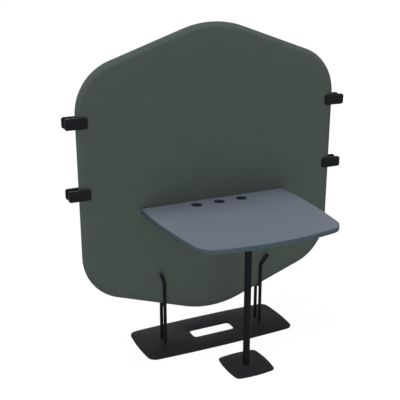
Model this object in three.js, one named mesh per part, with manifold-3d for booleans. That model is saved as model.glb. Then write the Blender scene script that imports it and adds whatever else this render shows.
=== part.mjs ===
// Desk with privacy screen: a padded six-sided screen stands in four bent rods on a steel base
// plate, and a desktop hangs on the screen at its back and rests on one round leg at its front.
// Millimetres, +Z up, -Y towards the person at the desk. Until the last lines, X = 0 and Y = 0
// are the middle of the screen and Z = 0 is the floor.

import * as THREE from "three";
import { mergeVertices } from "three/addons/utils/BufferGeometryUtils.js";
import Module from "manifold-3d";

const wasm = await Module();
wasm.setup();

// Clearances
const seatGap = 0.3; // between pieces that are screwed, pressed or laid together
const screwClearance = 0.4; // round a screw in its hole, on the radius
const holeEndGap = 1; // between a screw's end and the bottom of its blind hole

// Screen: six sides, with a point at the top and at the bottom
const screenWidth = 1340;
const screenThickness = 30;
const peakHeight = 1603.5; // upper point, before it is rounded
const shoulderHeight = 1370; // upper side corners, before they are rounded
const hipHeight = 355; // lower side corners, before they are rounded
const keelHeight = 122.5; // lower point, before it is rounded
const sideCornerRadius = 243;
const pointRadius = 470;
const rolledEdge = 28; // how far in from the edge the padding is rolled round
const padCrown = 1.2; // how much the padding swells inside the rolled edge
const crownWidth = 60; // over what width it swells
const rimPadding = 14; // padding round the edge of the frame
const frameThickness = 18;
const frameWidth = 45;
const railHeight = 110; // cross rail of the frame that the desk's brackets are screwed to
const windowCornerRadius = 12; // where the frame's members meet the rail

// Base plate and the felt under it
const basePlateWidth = 820;
const basePlateDepth = 329;
const basePlateBow = 11.5; // how far each side swells past its corners
const basePlateCornerRadius = 44;
const plateThickness = 5;
const plateEdgeBreak = 0.8;
const slotWidth = 228;
const slotDepth = 74;
const slotCornerRadius = 18;
const feltThickness = 1.5;
const feltInset = 4;

// Rods that hold the screen between them
const rodDiameter = 17;
const rodInset = 139.5; // from the end of the base plate to a rod's axis
const rodBendHeight = 321;
const rodBendRadius = 45;
const flareAngle = THREE.MathUtils.degToRad(30); // from upright
const flareLength = 60;
const flareTurn = THREE.MathUtils.degToRad(45); // from straight outwards, away from the screen
const crossBarDiameter = 12;
const rodScrew = { radius: 4, headRadius: 8, headHeight: 3.6, depth: 24 };

// Desktop
const deskHeight = 735;
const deskWidth = 769;
const deskDepth = 635;
const deskThickness = 22;
const deskToScreen = 2.2;
const deskSideRadius = 2600; // bow of the left and right edges
const deskWidestInset = 120; // from the back edge to where the desktop is widest
const deskFrontRadius = 1405; // bow of the front edge
const deskCornerRadius = 88;
const deskBackCornerRadius = 4;
const deskEdgeBreak = 1.2;
const cableHoleDiameter = 50;
const cableHoleSpacing = 120;
const cableHoleCount = 3;
const cableHoleInset = 58.5; // from the back edge
const sleeveWall = 1.5;

// Brackets between screen and desktop
const bracketSpacing = 500;
const bracketWidth = 50;
const bracketThickness = 4;
const bracketReach = 150;
const bracketDrop = 95;
const bracketBendRadius = 3; // inside the bend
const gussetThickness = 5;
const gussetEnd = 12; // bare arm past each end of the gusset
const bracketHoleSpacing = 30;
const wallScrewDrop = 30; // from the top of the bracket
const topScrewInset = 25; // from the front end of the bracket
const wallScrew = { radius: 3, headRadius: 5.5, headHeight: 4, depth: 15 };
const topScrew = { radius: 2.5, headRadius: 4.8, headHeight: 3, depth: 14 };

// Leg
const legDiameter = 33;
const legWall = 2;
const legSetback = 279; // from the desktop's front edge to the leg's axis
const legPlugHeight = 35;
const flangeDiameter = 110;
const flangeThickness = 4;
const flangeSpigot = 30;
const flangeScrewCircle = 84;
const flangeScrew = { radius: 2.5, headRadius: 4.6, headHeight: 2.4, depth: 14 };
const flangeScrewCount = 4;
const footPlateSize = 219;
const footPlateBow = 9.5;
const footPlateCornerRadius = 24;
const footScrew = { radius: 5, headRadius: 9, headHeight: 4, depth: 24 };

// Clamps that link the screen to its neighbours
const clampHeights = { upper: 1168, lower: 840 };
const jawWidth = 104;
const jawHeight = 51;
const jawThickness = 15;
const jawShift = 2.5; // from the screen's edge out to the jaw's middle
const jawCornerRadius = 11;
const jawEdgeBreak = 1.6;
const jawBossRadius = 6;
const clampScrew = { radius: 3, headRadius: 5, headHeight: 5, depth: 11 };
const screwHeadSink = 1; // how deep the screw's head lies under the rear jaw's face
const insertRadius = 4.4;
const insertLength = 12;

// How finely round shapes are divided
const roundSides = 16;
const fineSides = 24;
const screwSides = 10;
const bendSteps = 6; // round a rod's bend
const cornerSteps = 5; // round each corner of an outline
const jawCornerSteps = 2;
const rollSteps = 4; // round the rolled edge of the padding
const crownSteps = 3; // from the rolled edge to the flat middle

// Levels and places that follow from the sizes above
const plateBottom = feltThickness + seatGap;
const plateTop = plateBottom + plateThickness;
const screenFace = screenThickness / 2;
const clearOfScreen = screenFace + seatGap;
const deskUnderside = deskHeight - deskThickness;
const deskBack = -(screenFace + deskToScreen);
const deskFront = deskBack - deskDepth;
const rodRadius = rodDiameter / 2;
const rodOffset = clearOfScreen + rodRadius;
const rodSpacing = basePlateWidth - 2 * rodInset; // from the left pair to the right pair
const legPlace = deskFront + legSetback;
const bracketTop = deskUnderside - seatGap;
const wallScrewHeight = bracketTop - wallScrewDrop;
const sleeveOuterRadius = cableHoleDiameter / 2 + sleeveWall;

const finishes = {
  fabric: { color: 0x454e49, roughness: 0.95, metalness: 0 },
  plywood: { color: 0xc9a877, roughness: 0.7, metalness: 0 },
  acousticFelt: { color: 0x8c9092, roughness: 1, metalness: 0 },
  laminate: { color: 0x6b737c, roughness: 0.45, metalness: 0 },
  slatePlastic: { color: 0x4c555e, roughness: 0.5, metalness: 0 },
  blackSteel: { color: 0x27282a, roughness: 0.55, metalness: 0.2 },
  blackNylon: { color: 0x202124, roughness: 0.5, metalness: 0 },
  blackFelt: { color: 0x17181a, roughness: 1, metalness: 0 },
  zincSteel: { color: 0xb4b7ba, roughness: 0.35, metalness: 0.9 },
  brass: { color: 0xb99a52, roughness: 0.35, metalness: 0.9 },
};

// A named mesh with a material of its own.
function part(name, geometry, finish) {
  const mesh = new THREE.Mesh(geometry, new THREE.MeshStandardMaterial(finish));
  mesh.name = name;
  return mesh;
}

function place(mesh, x, y, z) {
  mesh.position.set(x, y, z);
  return mesh;
}

// Solids that are cut or joined

function solidFrom(geometry) {
  const bare = geometry.clone();
  bare.deleteAttribute("normal");
  bare.deleteAttribute("uv");
  const merged = mergeVertices(bare);
  return new wasm.Manifold(
    new wasm.Mesh({
      numProp: 3,
      vertProperties: merged.attributes.position.array,
      triVerts: new Uint32Array(merged.index.array),
    }),
  );
}

function geometryFrom(solid) {
  const { vertProperties, triVerts } = solid.getMesh();
  const geometry = new THREE.BufferGeometry();
  geometry.setAttribute("position", new THREE.BufferAttribute(vertProperties, 3));
  geometry.setIndex(new THREE.BufferAttribute(triVerts, 1));
  geometry.computeVertexNormals();
  return geometry;
}

function cutAway(geometry, tools) {
  const start = solidFrom(geometry);
  return geometryFrom(tools.reduce((solid, tool) => solid.subtract(solidFrom(tool)), start));
}

function joined(geometries) {
  const [first, ...others] = geometries.map(solidFrom);
  return geometryFrom(others.reduce((solid, other) => solid.add(other), first));
}

// Outlines

// A polygon of [x, y, radius] corners, counter-clockwise, with each corner rounded. Where a side
// is too short for the rounding at its two ends, both take their share of it.
function roundedPolygon(corners, outline = new THREE.Shape()) {
  const points = corners.map(([x, y]) => new THREE.Vector2(x, y));
  const sides = points.map((point, i) => points[(i + 1) % points.length].clone().sub(point));
  const turns = sides.map((leaving, i) => {
    const arriving = sides.at(i - 1);
    return Math.atan2(arriving.cross(leaving), arriving.dot(leaving));
  });
  const reaches = corners.map(([, , radius], i) => radius * Math.tan(Math.abs(turns[i]) / 2));
  const shares = sides.map((side, i) => side.length() / (reaches[i] + reaches[(i + 1) % reaches.length]));
  points.forEach((corner, i) => {
    const radius = corners[i][2] * Math.min(1, shares[i], shares.at(i - 1));
    const arriving = sides.at(i - 1).clone().normalize();
    const side = Math.sign(turns[i]);
    const start = corner.clone().addScaledVector(arriving, -radius * Math.tan(Math.abs(turns[i]) / 2));
    if (i === 0) outline.moveTo(start.x, start.y);
    else outline.lineTo(start.x, start.y);
    if (radius === 0) return;
    const centreX = start.x - arriving.y * side * radius;
    const centreY = start.y + arriving.x * side * radius;
    const from = arriving.angle() - (side * Math.PI) / 2;
    outline.absarc(centreX, centreY, radius, from, from + turns[i], side < 0);
  });
  return outline;
}

// Centre of a circle that touches two larger circles from inside. Of the two such circles it is
// the one further along the direction towards.
function innerFillet(centreA, radiusA, centreB, radiusB, radius, towards) {
  const line = centreB.clone().sub(centreA);
  const distance = line.length();
  const reachA = radiusA - radius;
  const reachB = radiusB - radius;
  const along = (reachA ** 2 - reachB ** 2 + distance ** 2) / (2 * distance);
  const across = Math.sqrt(reachA ** 2 - along ** 2);
  line.normalize();
  const sideways = new THREE.Vector2(-line.y, line.x);
  if (sideways.dot(towards) < 0) sideways.negate();
  return centreA.clone().addScaledVector(line, along).addScaledVector(sideways, across);
}

// A plate whose four sides are bowed out and whose corners are round. The inset moves the whole
// outline inwards.
function bowedPlate(width, depth, bow, cornerRadius, inset = 0) {
  const bowRadius = (reach) => ((reach - bow) ** 2 + bow ** 2) / (2 * bow);
  const sideRadius = bowRadius(depth / 2);
  const endRadius = bowRadius(width / 2);
  const sideCentre = new THREE.Vector2(width / 2 - sideRadius, 0);
  const endCentre = new THREE.Vector2(0, depth / 2 - endRadius);
  const quarter = new THREE.Vector2(1, 1);
  const fillet = innerFillet(sideCentre, sideRadius, endCentre, endRadius, cornerRadius, quarter);
  const sideAngle = fillet.clone().sub(sideCentre).angle();
  const endAngle = fillet.clone().sub(endCentre).angle();
  const outline = new THREE.Shape();
  const arc = (x, y, radius, from, to) => outline.absarc(x, y, radius - inset, from, to);
  const halfTurn = Math.PI;
  arc(sideCentre.x, 0, sideRadius, -sideAngle, sideAngle);
  arc(fillet.x, fillet.y, cornerRadius, sideAngle, endAngle);
  arc(0, endCentre.y, endRadius, endAngle, halfTurn - endAngle);
  arc(-fillet.x, fillet.y, cornerRadius, halfTurn - endAngle, halfTurn - sideAngle);
  arc(-sideCentre.x, 0, sideRadius, halfTurn - sideAngle, halfTurn + sideAngle);
  arc(-fillet.x, -fillet.y, cornerRadius, halfTurn + sideAngle, halfTurn + endAngle);
  arc(0, -endCentre.y, endRadius, halfTurn + endAngle, -endAngle);
  arc(fillet.x, -fillet.y, cornerRadius, -endAngle, -sideAngle);
  return outline;
}

// A round hole as a polygon, with corners at the same angles as a turned piece has.
function roundHole(x, y, radius, sides) {
  const edge = new THREE.EllipseCurve(x, y, radius, radius, 0, 2 * Math.PI, true);
  return new THREE.Path(edge.getPoints(sides));
}

// An outline as a plate standing on z = 0, with its edges broken by a small chamfer.
function platePrism(outline, thickness, edgeBreak, curveSegments = cornerSteps) {
  const prism = new THREE.ExtrudeGeometry(outline, {
    depth: thickness - 2 * edgeBreak,
    curveSegments,
    bevelEnabled: edgeBreak > 0,
    bevelThickness: edgeBreak,
    bevelSize: edgeBreak,
    bevelOffset: -edgeBreak,
    bevelSegments: 1,
  });
  return prism.translate(0, 0, edgeBreak);
}

// A [radius, height] profile turned round the Z axis.
function turned(profile, sides = roundSides) {
  const points = profile.map(([radius, height]) => new THREE.Vector2(radius, height));
  return new THREE.LatheGeometry(points, sides).rotateX(Math.PI / 2);
}

// Screws point along +Z from the outer face of the head, which lies at z = 0.
function countersunk(screw, length, clearance = 0) {
  const headRadius = screw.headRadius + clearance;
  const radius = screw.radius + clearance;
  return turned(
    [[0, 0], [headRadius, 0], [radius, screw.headHeight], [radius, length], [0, length]],
    screwSides,
  );
}

function cylinderHead(screw, length) {
  const { radius, headRadius, headHeight } = screw;
  const end = headHeight + length;
  return turned(
    [[0, 0], [headRadius, 0], [headRadius, headHeight], [radius, headHeight], [radius, end], [0, end]],
    screwSides,
  );
}

function drill(radius, from, to, sides = screwSides) {
  return turned([[0, from], [radius, from], [radius, to], [0, to]], sides);
}

// Turns a piece made along Z so that it points along +Y, towards the back.
function pointBack(geometry) {
  return geometry.rotateX(-Math.PI / 2);
}

// Screen

// Angles of the sloping edges from level.
const upperSlope = Math.atan2(peakHeight - shoulderHeight, screenWidth / 2);
const lowerSlope = Math.atan2(hipHeight - keelHeight, screenWidth / 2);

// The screen's corners moved inwards by an inset, as [x, z, radius] from the lower right.
function screenCorners(inset) {
  const side = screenWidth / 2 - inset;
  const peak = peakHeight - inset / Math.cos(upperSlope);
  const keel = keelHeight + inset / Math.cos(lowerSlope);
  const shoulder = peak - side * Math.tan(upperSlope);
  const hip = keel + side * Math.tan(lowerSlope);
  return {
    keel: [0, keel, pointRadius - inset],
    rightHip: [side, hip, sideCornerRadius - inset],
    rightShoulder: [side, shoulder, sideCornerRadius - inset],
    peak: [0, peak, pointRadius - inset],
    leftShoulder: [-side, shoulder, sideCornerRadius - inset],
    leftHip: [-side, hip, sideCornerRadius - inset],
  };
}

// The screen's outline at an inset, as a ring of points at a given Y.
function screenRing(inset, y) {
  const outline = roundedPolygon(Object.values(screenCorners(inset)));
  const ring = [];
  for (const point of outline.getPoints(cornerSteps)) {
    const spot = new THREE.Vector3(point.x, y, point.y);
    if (ring.every((other) => other.distanceTo(spot) > seatGap)) ring.push(spot);
  }
  return ring;
}

// A closed skin through rings with as many points each, with a fan over the first and the last.
function skinned(rings) {
  const count = rings[0].length;
  const points = rings.flat();
  const faces = [];
  for (let ring = 0; ring + 1 < rings.length; ring += 1) {
    for (let i = 0; i < count; i += 1) {
      const here = ring * count + i;
      const next = ring * count + ((i + 1) % count);
      faces.push(here, next, next + count, here, next + count, here + count);
    }
  }
  const firstCentre = points.length;
  const lastRing = points.length - count;
  for (const ring of [rings[0], rings.at(-1)]) {
    const centre = new THREE.Vector3();
    ring.forEach((point) => centre.addScaledVector(point, 1 / count));
    points.push(centre);
  }
  for (let i = 0; i < count; i += 1) {
    const next = (i + 1) % count;
    faces.push(firstCentre, next, i);
    faces.push(firstCentre + 1, lastRing + i, lastRing + next);
  }
  const geometry = new THREE.BufferGeometry().setFromPoints(points);
  geometry.setIndex(faces);
  geometry.computeVertexNormals();
  return geometry;
}

// One padded cover: a tray that the frame lies in, open at the back, with a rolled and crowned
// front. It ends at the seam round the middle of the screen's edge.
function coverShell() {
  const pocket = frameThickness / 2 + seatGap;
  const seam = seatGap / 2;
  const rolledDepth = screenFace - padCrown;
  const rings = [
    screenRing(rimPadding, -pocket),
    screenRing(rimPadding, -seam),
    screenRing(0, -seam),
  ];
  for (let step = 1; step <= rollSteps; step += 1) {
    const angle = (step / rollSteps) * (Math.PI / 2);
    rings.push(screenRing(rolledEdge * (1 - Math.cos(angle)), -rolledDepth * Math.sin(angle)));
  }
  for (let step = 1; step <= crownSteps; step += 1) {
    const share = step / crownSteps;
    const rise = padCrown * Math.sin((share * Math.PI) / 2);
    rings.push(screenRing(rolledEdge + crownWidth * share, -(rolledDepth + rise)));
  }
  return skinned(rings);
}

const bracketSides = [-1, 1];

// Where the four screws go through the brackets into the frame.
const wallScrewPlaces = bracketSides.flatMap((side) =>
  [1, -1].map((outwards) => ({
    name: `${side < 0 ? "left" : "right"}_${outwards > 0 ? "outer" : "inner"}`,
    x: side * (bracketSpacing / 2 + (outwards * bracketHoleSpacing) / 2),
  })),
);

function frontCover() {
  const drills = wallScrewPlaces.map(({ x }) =>
    pointBack(drill(wallScrew.radius + screwClearance, -clearOfScreen, 0)).translate(x, 0, wallScrewHeight),
  );
  return cutAway(coverShell(), drills);
}

const frameOuter = rimPadding + seatGap;
const frameInner = frameOuter + frameWidth;

// The space inside the frame above (or below) the cross rail, moved inwards by an inset.
function upperWindow(inset, outline) {
  const { rightShoulder, peak, leftShoulder } = screenCorners(frameInner + inset);
  const low = deskUnderside + inset;
  return roundedPolygon(
    [
      [rightShoulder[0], low, windowCornerRadius - inset],
      rightShoulder,
      peak,
      leftShoulder,
      [leftShoulder[0], low, windowCornerRadius - inset],
    ],
    outline,
  );
}

function lowerWindow(inset, outline) {
  const { keel, rightHip, leftHip } = screenCorners(frameInner + inset);
  const high = deskUnderside - railHeight - inset;
  return roundedPolygon(
    [
      keel,
      rightHip,
      [rightHip[0], high, windowCornerRadius - inset],
      [leftHip[0], high, windowCornerRadius - inset],
      leftHip,
    ],
    outline,
  );
}

// Stands a plate that was drawn in X and Y upright in the screen, centred on its mid-plane.
function upright(geometry, thickness) {
  return geometry.translate(0, 0, -thickness / 2).rotateX(Math.PI / 2);
}

function screenFrame() {
  const outline = roundedPolygon(Object.values(screenCorners(frameOuter)));
  outline.holes.push(upperWindow(0, new THREE.Path()), lowerWindow(0, new THREE.Path()));
  const frame = upright(platePrism(outline, frameThickness, 0), frameThickness);
  const front = -frameThickness / 2;
  const drills = wallScrewPlaces.map(({ x }) =>
    pointBack(
      drill(wallScrew.radius + screwClearance, front - seatGap, front + wallScrew.depth + holeEndGap),
    ).translate(x, 0, wallScrewHeight),
  );
  return cutAway(frame, drills);
}

function acousticCore(windowOutline) {
  return upright(platePrism(windowOutline(seatGap), frameThickness, 0), frameThickness);
}

function buildScreen() {
  const screen = new THREE.Group();
  const rearCover = part("rear_cover", coverShell(), finishes.fabric);
  rearCover.rotation.z = Math.PI;
  screen.add(
    part("front_cover", frontCover(), finishes.fabric),
    rearCover,
    part("screen_frame", screenFrame(), finishes.plywood),
    part("upper_acoustic_core", acousticCore(upperWindow), finishes.acousticFelt),
    part("lower_acoustic_core", acousticCore(lowerWindow), finishes.acousticFelt),
  );
  return screen;
}

// Base plate, rods and cross bars

const rodPlaces = [
  { name: "front_left", x: -1, y: -1 },
  { name: "front_right", x: 1, y: -1 },
  { name: "rear_left", x: -1, y: 1 },
  { name: "rear_right", x: 1, y: 1 },
].map(({ name, x, y }) => ({
  name,
  x: (x * rodSpacing) / 2,
  y: y * rodOffset,
  // The flare points outwards and away from the screen.
  flare: Math.atan2(y * Math.sin(flareTurn), x * Math.cos(flareTurn)),
}));

function slotOutline(grow, outline) {
  const x = slotWidth / 2 + grow;
  const y = slotDepth / 2 + grow;
  const radius = slotCornerRadius + grow;
  return roundedPolygon([[x, -y, radius], [x, y, radius], [-x, y, radius], [-x, -y, radius]], outline);
}

function basePlateOutline(inset) {
  const outline = bowedPlate(
    basePlateWidth,
    basePlateDepth,
    basePlateBow,
    basePlateCornerRadius,
    inset,
  );
  outline.holes.push(slotOutline(inset, new THREE.Path()));
  return outline;
}

// A hole for a countersunk screw that comes from below, through a plate on z = 0.
function countersinkTool(screw, plate) {
  return countersunk(screw, plate + seatGap, screwClearance);
}

function basePlate() {
  const plate = platePrism(basePlateOutline(0), plateThickness, plateEdgeBreak);
  const tools = rodPlaces.map(({ x, y }) =>
    countersinkTool(rodScrew, plateThickness).translate(x, y, 0),
  );
  return cutAway(plate, tools);
}

// The rod's middle line in its own XZ plane: straight up, round the bend, then the flare. The
// straight stretches take one step each, and the bend takes the rest.
class FlaredRodLine extends THREE.Curve {
  getPoint(t, target = new THREE.Vector3()) {
    const straight = rodBendHeight - plateTop - seatGap;
    const step = t * (bendSteps + 2);
    const rise = Math.min(step, 1) * straight;
    const bend = THREE.MathUtils.clamp((step - 1) / bendSteps, 0, 1) * flareAngle;
    const flare = Math.max(step - 1 - bendSteps, 0) * flareLength;
    return target.set(
      rodBendRadius * (1 - Math.cos(bend)) + flare * Math.sin(flareAngle),
      0,
      rise + rodBendRadius * Math.sin(bend) + flare * Math.cos(flareAngle),
    );
  }

  getUtoTmapping(u) {
    return u;
  }
}

function bentRod() {
  const section = new THREE.Shape().absarc(0, 0, rodRadius, 0, 2 * Math.PI);
  const rod = new THREE.ExtrudeGeometry(section, {
    extrudePath: new FlaredRodLine(),
    steps: bendSteps + 2,
    curveSegments: roundSides / 2,
    bevelEnabled: false,
  });
  const boreEnd = rodScrew.depth + holeEndGap;
  return cutAway(rod, [drill(rodScrew.radius + screwClearance, -seatGap, boreEnd)]);
}

// The cross bar touches the screen's sloping lower edge from below.
const crossBarRadius = crossBarDiameter / 2;
const edgeAboveCrossBar = keelHeight + (rodSpacing / 2) * Math.tan(lowerSlope);
const crossBarHeight = edgeAboveCrossBar - (crossBarRadius + seatGap) / Math.cos(lowerSlope);

function crossBar() {
  const length = 2 * (rodOffset - rodRadius - seatGap);
  return pointBack(drill(crossBarRadius, -length / 2, length / 2, roundSides));
}

function buildStand() {
  const stand = new THREE.Group();
  const felt = platePrism(basePlateOutline(feltInset), feltThickness, 0);
  stand.add(part("base_felt", felt, finishes.blackFelt));
  stand.add(place(part("base_plate", basePlate(), finishes.blackSteel), 0, 0, plateBottom));
  const rodScrewLength = plateThickness + seatGap + rodScrew.depth;
  for (const { name, x, y, flare } of rodPlaces) {
    const rod = part(`rod_${name}`, bentRod(), finishes.blackSteel);
    rod.rotation.z = flare;
    stand.add(place(rod, x, y, plateTop + seatGap));
    const screw = part(`rod_screw_${name}`, countersunk(rodScrew, rodScrewLength), finishes.zincSteel);
    stand.add(place(screw, x, y, plateBottom));
  }
  for (const [name, side] of [["left", -1], ["right", 1]]) {
    const bar = part(`cross_bar_${name}`, crossBar(), finishes.blackSteel);
    stand.add(place(bar, (side * rodSpacing) / 2, 0, crossBarHeight));
  }
  return stand;
}

// Desktop

// Straight at the back, bowed at the sides and the front, with wide round front corners.
function deskOutline() {
  const sideCentre = new THREE.Vector2(deskWidth / 2 - deskSideRadius, deskBack - deskWidestInset);
  const frontCentre = new THREE.Vector2(0, deskFront + deskFrontRadius);
  const frontRight = new THREE.Vector2(1, -1);
  const fillet = innerFillet(
    sideCentre,
    deskSideRadius,
    frontCentre,
    deskFrontRadius,
    deskCornerRadius,
    frontRight,
  );
  const sideAngle = Math.atan2(fillet.y - sideCentre.y, fillet.x - sideCentre.x);
  const frontAngle = Math.atan2(fillet.y - frontCentre.y, fillet.x - frontCentre.x);
  const backY = deskBack - deskBackCornerRadius;
  const backRise = backY - sideCentre.y;
  const backAngle = Math.asin(backRise / (deskSideRadius - deskBackCornerRadius));
  const backX = sideCentre.x + (deskSideRadius - deskBackCornerRadius) * Math.cos(backAngle);
  const halfTurn = Math.PI;
  const outline = new THREE.Shape();
  outline.absarc(sideCentre.x, sideCentre.y, deskSideRadius, sideAngle, backAngle);
  outline.absarc(backX, backY, deskBackCornerRadius, backAngle, halfTurn / 2);
  outline.absarc(-backX, backY, deskBackCornerRadius, halfTurn / 2, halfTurn - backAngle);
  outline.absarc(-sideCentre.x, sideCentre.y, deskSideRadius, halfTurn - backAngle, halfTurn - sideAngle);
  outline.absarc(-fillet.x, fillet.y, deskCornerRadius, halfTurn - sideAngle, -halfTurn - frontAngle);
  outline.absarc(0, frontCentre.y, deskFrontRadius, -halfTurn - frontAngle, frontAngle);
  outline.absarc(fillet.x, fillet.y, deskCornerRadius, frontAngle, sideAngle);
  return outline;
}

const cableHoleY = deskBack - cableHoleInset;
const cableHoleXs = Array.from(
  { length: cableHoleCount },
  (_, i) => (i - (cableHoleCount - 1) / 2) * cableHoleSpacing,
);

const topScrewPlaces = wallScrewPlaces.map(({ name, x }) => ({
  name,
  x,
  y: -(clearOfScreen + bracketReach - topScrewInset),
}));

const flangeScrewPlaces = Array.from({ length: flangeScrewCount }, (_, i) => {
  const angle = ((i + 0.5) / flangeScrewCount) * 2 * Math.PI;
  return {
    name: String(i + 1),
    x: (flangeScrewCircle / 2) * Math.cos(angle),
    y: (flangeScrewCircle / 2) * Math.sin(angle),
  };
});

// Sits on z = 0. Blind holes in its underside take the screws of the brackets and the leg.
function desktopBoard() {
  const outline = deskOutline();
  for (const x of cableHoleXs) {
    outline.holes.push(roundHole(x, cableHoleY, sleeveOuterRadius + seatGap, fineSides));
  }
  const board = platePrism(outline, deskThickness, deskEdgeBreak);
  const blindHole = (screw, x, y) =>
    drill(screw.radius + screwClearance, -seatGap, screw.depth + holeEndGap).translate(x, y, 0);
  return cutAway(board, [
    ...topScrewPlaces.map(({ x, y }) => blindHole(topScrew, x, y)),
    ...flangeScrewPlaces.map(({ x, y }) => blindHole(flangeScrew, x, y + legPlace)),
  ]);
}

// A liner for a cable hole, flush with both faces of the desktop.
function cableSleeve() {
  const inner = cableHoleDiameter / 2;
  return turned(
    [
      [inner, 0],
      [sleeveOuterRadius, 0],
      [sleeveOuterRadius, deskThickness],
      [inner, deskThickness],
      [inner, 0],
    ],
    fineSides,
  );
}

const sleeveNames = ["left", "centre", "right"];

// Brackets: an angle of bent plate with a gusset in its corner

// Turns a side view, drawn as [forward, up], into a piece of the given width across X.
function acrossX(outline, width) {
  const prism = platePrism(outline, width, 0);
  const forward = new THREE.Vector3(0, -1, 0);
  const up = new THREE.Vector3(0, 0, 1);
  const across = new THREE.Vector3(-1, 0, 0);
  return prism
    .applyMatrix4(new THREE.Matrix4().makeBasis(forward, up, across))
    .translate(width / 2, 0, 0);
}

// Its origin is the upper back corner, on the screen and under the desktop.
function deskBracket() {
  const inside = bracketThickness;
  const bend = bracketBendRadius;
  const angle = roundedPolygon([
    [0, -bracketDrop, 0],
    [inside, -bracketDrop, 0],
    [inside, -inside, bend],
    [bracketReach, -inside, 0],
    [bracketReach, 0, 0],
    [0, 0, bend + bracketThickness],
  ]);
  const root = bracketThickness / 2;
  const gusset = roundedPolygon([
    [root, gussetEnd - bracketDrop, 0],
    [inside + gussetThickness, gussetEnd - bracketDrop, 0],
    [bracketReach - gussetEnd, -inside - gussetThickness, 0],
    [bracketReach - gussetEnd, -root, 0],
    [root, -root, 0],
  ]);
  const body = joined([acrossX(angle, bracketWidth), acrossX(gusset, gussetThickness)]);
  const hole = (screw) =>
    drill(screw.radius + screwClearance, -(bracketThickness + seatGap), seatGap);
  const tools = [1, -1].flatMap((side) => {
    const x = (side * bracketHoleSpacing) / 2;
    return [
      pointBack(hole(wallScrew)).translate(x, 0, -wallScrewDrop),
      hole(topScrew).translate(x, topScrewInset - bracketReach, 0),
    ];
  });
  return cutAway(body, tools);
}

function buildDesk() {
  const desk = new THREE.Group();
  desk.add(place(part("desktop", desktopBoard(), finishes.laminate), 0, 0, deskUnderside));
  cableHoleXs.forEach((x, i) => {
    const sleeve = part(`cable_sleeve_${sleeveNames[i] ?? i + 1}`, cableSleeve(), finishes.slatePlastic);
    desk.add(place(sleeve, x, cableHoleY, deskUnderside));
  });
  for (const side of bracketSides) {
    const name = side < 0 ? "left" : "right";
    const bracket = part(`desk_bracket_${name}`, deskBracket(), finishes.blackSteel);
    desk.add(place(bracket, (side * bracketSpacing) / 2, -clearOfScreen, bracketTop));
  }
  const wallHead = clearOfScreen + bracketThickness + seatGap;
  const wallScrewLength = wallHead - frameThickness / 2 + wallScrew.depth;
  for (const { name, x } of wallScrewPlaces) {
    const geometry = pointBack(cylinderHead(wallScrew, wallScrewLength));
    const screw = part(`bracket_wall_screw_${name}`, geometry, finishes.zincSteel);
    desk.add(place(screw, x, -(wallHead + wallScrew.headHeight), wallScrewHeight));
  }
  const topHead = bracketTop - bracketThickness - seatGap;
  const topScrewLength = deskUnderside - topHead + topScrew.depth;
  for (const { name, x, y } of topScrewPlaces) {
    const geometry = cylinderHead(topScrew, topScrewLength);
    const screw = part(`bracket_top_screw_${name}`, geometry, finishes.zincSteel);
    desk.add(place(screw, x, y, topHead - topScrew.headHeight));
  }
  return desk;
}

// Leg

const legRadius = legDiameter / 2;
const legBore = legRadius - legWall;
const legPlugRadius = legBore - seatGap;
const flangeBottom = deskUnderside - seatGap - flangeThickness;

function legTube() {
  const length = flangeBottom - seatGap - (plateTop + seatGap);
  return turned(
    [[legBore, 0], [legRadius, 0], [legRadius, length], [legBore, length], [legBore, 0]],
    fineSides,
  );
}

// A round plate under the desktop, with a spigot that goes into the leg. Its origin is the
// plate's underside.
function legFlange() {
  const plateRadius = flangeDiameter / 2;
  const body = turned(
    [
      [0, -flangeSpigot],
      [legPlugRadius, -flangeSpigot],
      [legPlugRadius, 0],
      [plateRadius, 0],
      [plateRadius, flangeThickness],
      [0, flangeThickness],
    ],
    fineSides,
  );
  const tools = flangeScrewPlaces.map(({ x, y }) =>
    countersinkTool(flangeScrew, flangeThickness).translate(x, y, 0),
  );
  return cutAway(body, tools);
}

// The threaded plug in the leg's foot.
function legPlug() {
  const bore = footScrew.radius + screwClearance;
  return turned([
    [bore, 0],
    [legPlugRadius, 0],
    [legPlugRadius, legPlugHeight],
    [bore, legPlugHeight],
    [bore, 0],
  ]);
}

function footOutline(inset) {
  return bowedPlate(footPlateSize, footPlateSize, footPlateBow, footPlateCornerRadius, inset);
}

function footPlate() {
  const plate = platePrism(footOutline(0), plateThickness, plateEdgeBreak);
  return cutAway(plate, [countersinkTool(footScrew, plateThickness)]);
}

function buildLeg() {
  const leg = new THREE.Group();
  leg.position.y = legPlace;
  const standing = plateTop + seatGap;
  const felt = platePrism(footOutline(feltInset), feltThickness, 0);
  const footScrewLength = plateThickness + seatGap + footScrew.depth;
  const flangeScrewLength = flangeThickness + seatGap + flangeScrew.depth;
  leg.add(
    part("foot_felt", felt, finishes.blackFelt),
    place(part("foot_plate", footPlate(), finishes.blackSteel), 0, 0, plateBottom),
    place(part("foot_screw", countersunk(footScrew, footScrewLength), finishes.zincSteel), 0, 0, plateBottom),
    place(part("leg_plug", legPlug(), finishes.zincSteel), 0, 0, standing),
    place(part("leg_tube", legTube(), finishes.blackSteel), 0, 0, standing),
    place(part("leg_flange", legFlange(), finishes.blackSteel), 0, 0, flangeBottom),
  );
  for (const { name, x, y } of flangeScrewPlaces) {
    const geometry = countersunk(flangeScrew, flangeScrewLength);
    leg.add(place(part(`flange_screw_${name}`, geometry, finishes.zincSteel), x, y, flangeBottom));
  }
  return leg;
}

// Clamps: two jaws, drawn together by a screw just outside the screen's edge. Each clamp's
// origin is on the screen's edge, and +X points away from the screen.

const jawInner = clearOfScreen;
const jawBossEnd = seatGap / 2;
const clampScrewX = jawBossRadius + seatGap;
const headSeat = jawInner + jawThickness - clampScrew.headHeight - screwHeadSink;

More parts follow.
